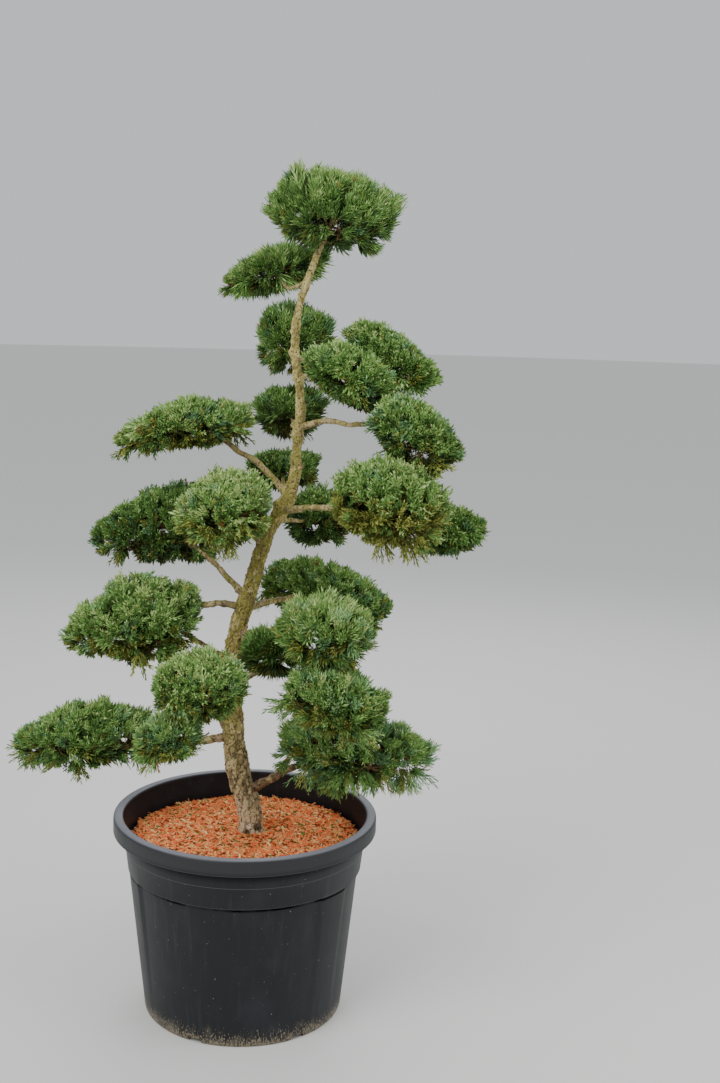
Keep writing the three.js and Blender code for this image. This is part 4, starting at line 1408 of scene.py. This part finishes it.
def nearest_angle(directions, centres):
    """The angle from each unit direction to the nearest of the centres."""
    return np.arccos(np.clip((directions @ centres.T).max(axis=1), -1, 1))


def varied(random, shape, least, more):
    """An array of random numbers from least to least + more."""
    return least + more * random.random_sample(shape)


def scattered(mass, density, random, jitter):
    """Spiral directions at a density over a mass, each moved a little at random."""
    count = round(mass.area * density)
    ball = spiral(count, random.random_sample() * 2 * math.pi)
    return unit(ball + jitter * random.standard_normal(ball.shape))


def branchlets(base, heading, size, width, random):
    """Closed four-faced branchlets, pointed at both ends and folded along the middle."""
    count = len(base)
    side = any_perpendicular(heading, random.random_sample(count) * 2 * math.pi)
    fold = np.cross(heading, side) * (width * BRANCHLET_FOLD)[:, None]
    middle = base + heading * (size * BRANCHLET_WIDEST)[:, None] + fold
    half = side * (width / 2)[:, None]
    points = np.stack([base, middle + half, middle - half, base + heading * size[:, None]], axis=1)
    return points.reshape(-1, 3), repeated([(0, 1, 2), (3, 2, 1), (0, 3, 1), (0, 2, 3)], count, 4)


def spindles(base, heading, size, radius):
    """Three-sided spindles, pointed at both ends and widest in the middle."""
    side, across = square_pair(heading, heading)
    middle = base + heading * (size * 0.5)[:, None]
    points = [base]
    for angle in np.arange(3) * 2 * math.pi / 3:
        points.append(middle + (side * math.cos(angle) + across * math.sin(angle)) * radius)
    points.append(base + heading * size[:, None])
    faces = [(0, 2, 1), (0, 3, 2), (0, 1, 3), (4, 1, 2), (4, 2, 3), (4, 3, 1)]
    return np.stack(points, axis=1).reshape(-1, 3), repeated(faces, len(base), 5)


def family_limits(tone):
    """The darkest and the palest colour index of each tone's own family."""
    families = np.cumsum([0, len(GREENS), len(GLAUCOUS), len(OLIVES), 1])
    family = np.searchsorted(families, tone, side="right") - 1
    return families[family], families[family + 1] - 1


class Tufts:
    """The tufts of a mass: their twigs, and where and how each of them grows."""

    REACH = 1.0  # how far sprays reach, as a share of their mass's space
    VALLEY = 0.11  # how much less far they reach between two tufts of a mass's surface
    LONG_SHOOTS = 0.18  # share of tufts that stand out of the rest
    LONG_REACH = 0.10  # how much further they reach
    FLATTER_UNDERSIDE = 0.10  # how much less far sprays reach at the very bottom
    HANGING_REACH = 0.42  # how much further they reach in tufts that hang down
    HANGING_BELOW = -0.35  # such tufts lie in directions of the ball below this
    BOTTOM = (0.2, 0.8)  # how far down the ball the bottom starts and is full

    def __init__(self, mass, twigs, ball, outer_count, density, random):
        self.twigs = twigs
        self.ball = ball
        self.inner = np.arange(len(twigs)) >= outer_count
        centres = scattered(mass, density, random, TUFT_JITTER)
        spacing = math.sqrt(4 * math.pi / len(centres)) / 2
        between = np.clip(nearest_angle(ball, centres) / spacing, 0, 1)
        long = random.random_sample(len(twigs)) < self.LONG_SHOOTS
        self.reach = self.REACH - np.where(long, -self.LONG_REACH, self.VALLEY * between ** 2)
        self.reach -= self.FLATTER_UNDERSIDE * smoothstep(-ball[:, 2], *self.BOTTOM)
        self.hanging = (random.random_sample(len(twigs)) < mass.hang) & ~self.inner
        self.hanging &= ball[:, 2] < self.HANGING_BELOW
        self.reach = np.where(self.hanging, self.REACH + self.HANGING_REACH, self.reach)


class Sprays:
    """The sprays of a mass, each with the number of the tuft that it grows in."""

    def __init__(self, roots, axes, lengths, owners):
        self.roots = roots
        self.axes = axes
        self.lengths = lengths
        self.owners = owners

    @property
    def tips(self):
        """The outer end of each spray."""
        return self.roots + self.axes * self.lengths[:, None]

    def kept(self, mask):
        """The sprays where a mask is True."""
        return Sprays(self.roots[mask], self.axes[mask], self.lengths[mask], self.owners[mask])


class BONSAI_OT_build_foliage(Operator):
    """Grows twigs, needles and cones in every mass of foliage"""

    bl_idname = "bonsai.build_foliage"
    bl_label = "Foliage"

    # How deep below a mass's outline the twigs of each order end
    MAIN_DEPTH = 38 * MM
    SIDE_DEPTH = 36 * MM
    TUFT_DEPTH = 26 * MM
    INNER_DEPTH = 20 * MM
    LEAN = 0.45  # how far a twig's curve leans along its parent, as a share of its length
    TUFT_LEAN = 0.4
    STEM_POINTS = 9
    TWIG_POINTS = (8, 6, 4)  # along a main twig, a side twig and a tuft's twig
    # The same three orders: radius at both ends, sides, and mix of barks
    TWIG_KINDS = [(3.4 * MM, 1.8 * MM, 5, OLDER_TWIG_MIX), (1.9 * MM, 1.1 * MM, 4, OLDER_TWIG_MIX),
                  (1.2 * MM, 0.8 * MM, 3, YOUNG_TWIG_MIX)]
    FAN_UNDERSIDE = -0.8  # a fan has no tufts in directions of the ball below this
    SURFACE_CLUMPS = 2  # for each side twig, with valleys between them

    # Random numbers, each as its least and how much more it can be: the depth of tufts, how far
    # out inner tufts lie, and the lean, length or place of sprays, branchlets and cones
    TUFT_DEPTHS = (0.8, 0.5)
    INNER_PLACES = (0.40, 0.42)
    SPRAY_LEANS = (0.6, 0.8)
    SPRAY_LENGTHS = (0.75, 0.4)
    BRANCHLET_LEANS = (0.7, 0.6)
    BRANCHLET_LENGTHS = (0.75, 0.5)
    CONE_PLACES = (0.65, 0.35)
    CONE_LENGTHS = (0.8, 0.5)

    # Sprays point away from the heart of their mass, whose place is in half sizes from the
    # middle, and out of the mass. They turn up towards the light or hang, and stray at random.
    HEART = np.array([0, 0, -0.5])
    FAN_HEART = np.array([-0.2, 0, -1.1])
    FROM_HEART = 0.65
    FACING_OUT = 0.35
    UNDERSIDE = (0.1, 0.7)  # how far down the ball the underside starts and is full
    LESS_LIFT_BELOW = 1.35
    HANGING_PULL = 0.8
    OUTER_STRAY = 0.28
    INNER_STRAY = 0.9
    ROLL_STRAY = 0.8
    FIRST_SPREAD = 0.10  # how far the first spray of a tuft leans from its aim
    SPREAD = 0.46

    BEARING_PART = 0.5  # the share of a tuft's twig that bears sprays, from its tip
    LAST_SHORTER = 0.2  # how much shorter the last of them is
    STRETCH_BELOW = 0.25  # how much longer sprays are on the underside
    HANGING_STRETCH = 0.5
    INNER_STRETCH = 1.2
    REACH_STRAY = 0.06
    REACH_SLACK = 0.03
    SPRAY_SHRINK = 0.82  # a spray that reaches too far is shortened to this, a few times over
    FITTING_STEPS = 5
    SHORTEST = 0.4  # sprays shorter than this share of the longest are left out
    WOOD_GAP = 4 * MM

    # Where the side branchlets leave a spray, as shares of its length
    BRANCHLET_PLACES = (0.06, 0.13, 0.20, 0.27, 0.34, 0.41, 0.48, 0.55, 0.62, 0.69, 0.76)
    # How far they lean out at the foot of a spray and how much less at its tip, and how long
    # they are at its foot and how much shorter at its tip
    OPENING, CLOSING = 0.60, 0.25
    FOOT_LENGTH, TIP_SHORTER = 1.1, 0.4
    INNER_STOUTNESS = 1.6  # how much larger branchlets inside a mass are
    # The painted light on sprays starts and is full at these shares of the way out
    OUTER_PART = (0.55, 1.0)  # of the way out, where sprays start to be light and are lightest
    DARKEST_STEPS = 1.0  # taken off the shades, so that dim sprays share the darkest one
    OLIVE_CHANCES = (0.7, 0.3)  # what a spray's own chance counts, and its tuft's

    CONES_PER_SPRAY = 2
    CONE_RADIUS = 0.34  # as a share of a cone's length
    CONE_STRAY = 1.2 * MM
    CONE_LIFT = 0.8
    CONES_BEYOND = 0.8  # of the way out to the mass's outline

    def execute(self, context):
        settings = context.scene.bonsai.foliage
        greens = needle_sprays()
        browns = [twig_bark(name, colour) for name, colour in TWIG_BARKS]
        cone_skin = twig_bark("pollen cones", "#c4b672")
        wood = wood_balls()
        for mass in MASS_LIST:
            random = np.random.RandomState(mass.seed)
            main, side, tufts = self.grow_twigs(mass, settings, random)
            sprays = self.grow_sprays(mass, tufts, wood, settings, random)
            self.make_twigs(mass, (main, side, tufts.twigs), browns, random)
            self.make_needles(mass, tufts, sprays, settings, greens, random)
            if TINTS[mass.tint]["cones"]:
                self.make_cones(mass, sprays, settings, cone_skin, random)
        return {"FINISHED"}

    def grow_twigs(self, mass, settings, random):
        """Three orders of twigs: main ones by the frame's rule, side twigs, and tufts."""
        limbs = [limb for limb in LIMB_LIST if limb.mass is mass]
        stems = np.stack([limb.at(np.linspace(limb.entry, 1, self.STEM_POINTS)) for limb in limbs])
        main_points, side_points, tuft_points = self.TWIG_POINTS
        main_ball = spiral(round(mass.area * MAIN_TWIGS_PER_SQUARE_METRE), mass.turn)
        main = twig_order(mass.point_at(main_ball, self.MAIN_DEPTH), stems, self.LEAN, main_points)
        side_ball = scattered(mass, settings.twigs, random, SIDE_TWIG_JITTER)
        side = twig_order(mass.point_at(side_ball, self.SIDE_DEPTH), main, self.LEAN, side_points)

        outer_ball = scattered(mass, settings.tufts, random, TUFT_JITTER)
        if mass.fan:
            outer_ball = outer_ball[outer_ball[:, 2] > self.FAN_UNDERSIDE]
        depth = self.TUFT_DEPTH * varied(random, len(outer_ball), *self.TUFT_DEPTHS)
        outer = mass.point_at(outer_ball, depth)
        count = round(settings.inner_tufts * len(outer_ball))
        inner_ball = spiral(count, random.random_sample() * 2 * math.pi)
        place = varied(random, (count, 1), *self.INNER_PLACES)
        surface = mass.point_at(inner_ball, self.INNER_DEPTH)
        inner = mass.middle + (surface - mass.middle) * place
        twigs = twig_order(np.concatenate([outer, inner]), side, self.TUFT_LEAN, tuft_points)
        ball = np.concatenate([outer_ball, inner_ball])
        clumps = settings.twigs * self.SURFACE_CLUMPS
        tufts = Tufts(mass, twigs, ball, len(outer), clumps, random)
        return main, side, tufts

    def spray_aims(self, mass, tufts, under, settings, random):
        """Which way each tuft points: outwards, up towards the light, or down if it hangs."""
        heart = mass.middle + mass.half * (self.FAN_HEART if mass.fan else self.HEART)
        lift = settings.lift * (1 - self.LESS_LIFT_BELOW * under)
        lift = lift - self.HANGING_PULL * tufts.hanging[:, None]
        aim = unit(self.FROM_HEART * unit(tufts.twigs[:, -1] - heart)
                   + self.FACING_OUT * mass.outward(tufts.ball) + [0, 0, 1] * lift)
        stray = np.where(tufts.inner, self.INNER_STRAY, self.OUTER_STRAY)[:, None]
        return unit(aim + stray * random.standard_normal(aim.shape))

    def grow_sprays(self, mass, tufts, wood, settings, random):
        """The sprays of a mass, several to each tuft, within its reach and clear of wood."""
        count = len(tufts.twigs)
        under = smoothstep(-tufts.ball[:, 2], *self.UNDERSIDE)[:, None]
        aim = self.spray_aims(mass, tufts, under, settings, random)
        stretch = 1 + self.STRETCH_BELOW * under[:, 0] + self.HANGING_STRETCH * tufts.hanging
        stretch = np.where(tufts.inner, self.INNER_STRETCH, stretch)
        longest = settings.spray_length * math.sqrt(mass.plume)
        last = tufts.twigs.shape[1] - 1
        roots, axes, lengths = [], [], []
        for index in range(settings.sprays):
            # The first spray grows from the twig's tip, and the rest from further and further in
            place = (1 - self.BEARING_PART * index / settings.sprays) * last
            low = min(math.floor(place), last - 1)
            inward, outward = tufts.twigs[:, low], tufts.twigs[:, low + 1]
            roots.append(inward + (outward - inward) * (place - low))
            roll = varied(random, count, index * GOLDEN_ANGLE, self.ROLL_STRAY)
            spread = self.FIRST_SPREAD if index == 0 else self.SPREAD / mass.plume
            lean = spread * varied(random, (count, 1), *self.SPRAY_LEANS)
            axes.append(unit(aim + any_perpendicular(aim, roll) * lean))
            length = longest * (1 - self.LAST_SHORTER * index / settings.sprays) * stretch
            lengths.append(length * varied(random, count, *self.SPRAY_LENGTHS))
        owners = np.tile(np.arange(count), settings.sprays)
        sprays = Sprays(*map(np.concatenate, (roots, axes, lengths)), owners)
        stray = self.REACH_STRAY * (random.random_sample(len(owners)) - 0.5)
        reach = tufts.reach[owners] + stray
        for _ in range(self.FITTING_STEPS):
            beyond = mass.share_at(sprays.tips, 0) > reach
            sprays.lengths = np.where(beyond, sprays.lengths * self.SPRAY_SHRINK, sprays.lengths)
        kept = sprays.lengths > self.SHORTEST * settings.spray_length
        return sprays.kept(kept & self.has_room(mass, sprays, wood, reach + self.REACH_SLACK))

    def has_room(self, mass, sprays, wood, reach):
        """True where a spray stays in its own mass's reach and touches no wood."""
        good = mass.share_at(sprays.tips, 0) < reach
        for other in MASS_LIST:
            if other is not mass:
                good &= other.share_at(sprays.tips, TUFT) > 1
        middles, radii = wood
        for points in (sprays.tips, (sprays.roots + sprays.tips) / 2):
            near = np.linalg.norm(points[:, None] - middles[None], axis=2)
            good &= (near > radii + self.WOOD_GAP).all(axis=1)
        return good

    def make_twigs(self, mass, orders, browns, random):
        """One piece of all the twigs in a mass."""
        points, faces, colours, start = [], [], [], 0
        for twigs, (thick, thin, sides, mix) in zip(orders, self.TWIG_KINDS):
            some_points, some_faces = twig_tubes(twigs, thick, thin, sides)
            colour = random.choice(len(browns), len(twigs), p=mix)
            points.append(some_points)
            faces.append(some_faces + start)
            colours.append(np.repeat(colour, len(some_faces) // len(twigs)))
            start += len(some_points)
        name = f"twigs_{mass.place}"
        mesh = mesh_of(name, *map(np.concatenate, (points, faces, colours)), smooth=True)
        add_piece(name, mesh, browns)

    def spray_tones(self, mass, tufts, sprays, random):
        """The colour index of each spray, in painted light towards the mass's surface and its top, and in
        painted shade inside it.
        """
        tint = TINTS[mass.tint]
        owners = sprays.owners
        outer = smoothstep(mass.share_at(sprays.tips, 0), *self.OUTER_PART)
        upper = 0.5 + 0.5 * mass.outward(tufts.ball)[owners][:, 2]
        of_tuft, kind = random.random_sample((2, owners.max() + 1))[:, owners]
        own, odd = random.random_sample((2, len(owners)))
        # Painted light: paler where a spray is near the surface and its tuft faces up, with chance added
        light = (OUTER_LIGHT * outer + UPPER_LIGHT * upper + TUFT_LIGHT * of_tuft
                 + OWN_LIGHT * own + tint["pale"])
        step = (light * GREEN_STEPS - self.DARKEST_STEPS).astype(int)
        tone = np.clip(step, 0, len(GREENS) - 1)
        tone = np.where(kind < tint["glaucous"], tone + len(GREENS), tone)
        first_olive = len(GREENS) + len(GLAUCOUS)
        step = (light * OLIVE_STEPS - self.DARKEST_STEPS).astype(int)
        dull = first_olive + np.clip(step, 0, len(OLIVES) - 1)
        facing_down = smoothstep(1 - upper, tint["olive_from"], tint["olive_from"] + OLIVE_RISE)
        olive = OLIVE_ANYWHERE + tint["olive"] * facing_down + OLIVE_INSIDE * (1 - outer)
        own_chance, tuft_chance = self.OLIVE_CHANCES
        tone = np.where((own_chance * odd + tuft_chance * kind) < olive, dull, tone)
        return np.where(odd > 1 - RUSTY_SHARE, first_olive + len(OLIVES), tone)

    def make_needles(self, mass, tufts, sprays, settings, greens, random):
        """One piece of all the needles in a mass."""
        count = len(sprays.roots)
        roll = random.random_sample(count) * 2 * math.pi
        stout = np.where(tufts.inner[sprays.owners], self.INNER_STOUTNESS, 1.0)
        base, heading, size = [sprays.roots], [sprays.axes], [sprays.lengths]
        for index, share in enumerate(self.BRANCHLET_PLACES):
            open_out = self.OPENING - self.CLOSING * share
            open_out = open_out * varied(random, count, *self.BRANCHLET_LEANS) / mass.plume
            side = any_perpendicular(sprays.axes, roll + index * GOLDEN_ANGLE)
            base.append(sprays.roots + sprays.axes * (sprays.lengths * share)[:, None])
            heading.append(unit(sprays.axes + side * open_out[:, None]))
            length = settings.needle_length * mass.plume * stout
            length = length * (self.FOOT_LENGTH - self.TIP_SHORTER * share)
            size.append(length * varied(random, count, *self.BRANCHLET_LENGTHS))
        copies = 1 + len(self.BRANCHLET_PLACES)
        width = np.tile(settings.needle_width / mass.plume * stout, copies)
        base, heading, size = map(np.concatenate, (base, heading, size))
        points, faces = branchlets(base, heading, size, width, random)
        tone = np.tile(self.spray_tones(mass, tufts, sprays, random), copies)
        first, last = family_limits(tone)
        # Painted shade and light on each branchlet: a face near its root a shade darker and a face near its
        # tip a shade lighter, each half of the time
        lighter = np.minimum(tone + (random.random_sample(len(tone)) < 0.5), last)
        darker = np.maximum(tone - (random.random_sample(len(tone)) < 0.5), first)
        colours = np.stack([darker, lighter, tone, tone], axis=1).reshape(-1)
        name = f"needles_{mass.place}"
        mesh = mesh_of(name, points, faces, colours)
        add_piece(name, mesh, greens, [f"foliage_{mass.place}"])

    def make_cones(self, mass, sprays, settings, skin, random):
        """Beige pollen cones near the tips of the sprays of some tufts."""
        owners = sprays.owners
        bearing = random.random_sample(owners.max() + 1) < TINTS[mass.tint]["cones"]
        shares = varied(random, (self.CONES_PER_SPRAY, len(owners)), *self.CONE_PLACES)
        places = sprays.roots + sprays.axes * (sprays.lengths * shares)[:, :, None]
        shown = (mass.share_at(sprays.tips, 0) > self.CONES_BEYOND) & bearing[owners]
        picked = places[:, shown].reshape(-1, 3)
        count = len(picked)
        if not count:  # a small mass may have no tuft that bears cones
            return
        heading = unit(random.standard_normal((count, 3)) + [0, 0, self.CONE_LIFT])
        base = picked + random.standard_normal((count, 3)) * self.CONE_STRAY
        size = settings.cone_size * varied(random, count, *self.CONE_LENGTHS)
        points, faces = spindles(base, heading, size, self.CONE_RADIUS * settings.cone_size)
        name = f"cones_{mass.place}"
        add_piece(name, mesh_of(name, points, faces, smooth=True), [skin])


class BONSAI_PT_panel(Panel):
    """Lists the pieces of the bonsai in the order in which they are made."""

    bl_idname = "BONSAI_PT_panel"
    bl_label = "Potted Juniper Bonsai"
    bl_space_type = "VIEW_3D"
    bl_region_type = "UI"
    bl_category = "Bonsai"

    def draw(self, context):
        for operator in OPERATORS:
            self.layout.operator(operator.bl_idname)


SETTINGS = (PotSettings, MulchSettings, BarkSettings, FoliageSettings, StageSettings,
            BonsaiSettings)
OPERATORS = (BONSAI_OT_build_stage, BONSAI_OT_build_pot, BONSAI_OT_build_mulch,
             BONSAI_OT_build_bark, BONSAI_OT_build_foliage)


def register():
    """Registers the settings, operators and panel."""
    for item in (*SETTINGS, *OPERATORS, BONSAI_PT_panel):
        bpy.utils.register_class(item)
    bpy.types.Scene.bonsai = PointerProperty(type=BonsaiSettings)


def unregister():
    """Removes what register added."""
    del bpy.types.Scene.bonsai
    for item in reversed((*SETTINGS, *OPERATORS, BONSAI_PT_panel)):
        bpy.utils.unregister_class(item)


def main():
    """Builds every piece in order."""
    register()
    bpy.ops.bonsai.build_stage()
    bpy.ops.bonsai.build_pot()
    bpy.ops.bonsai.build_mulch()
    bpy.ops.bonsai.build_bark()
    bpy.ops.bonsai.build_foliage()
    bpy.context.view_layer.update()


if __name__ == "__main__":
    main()
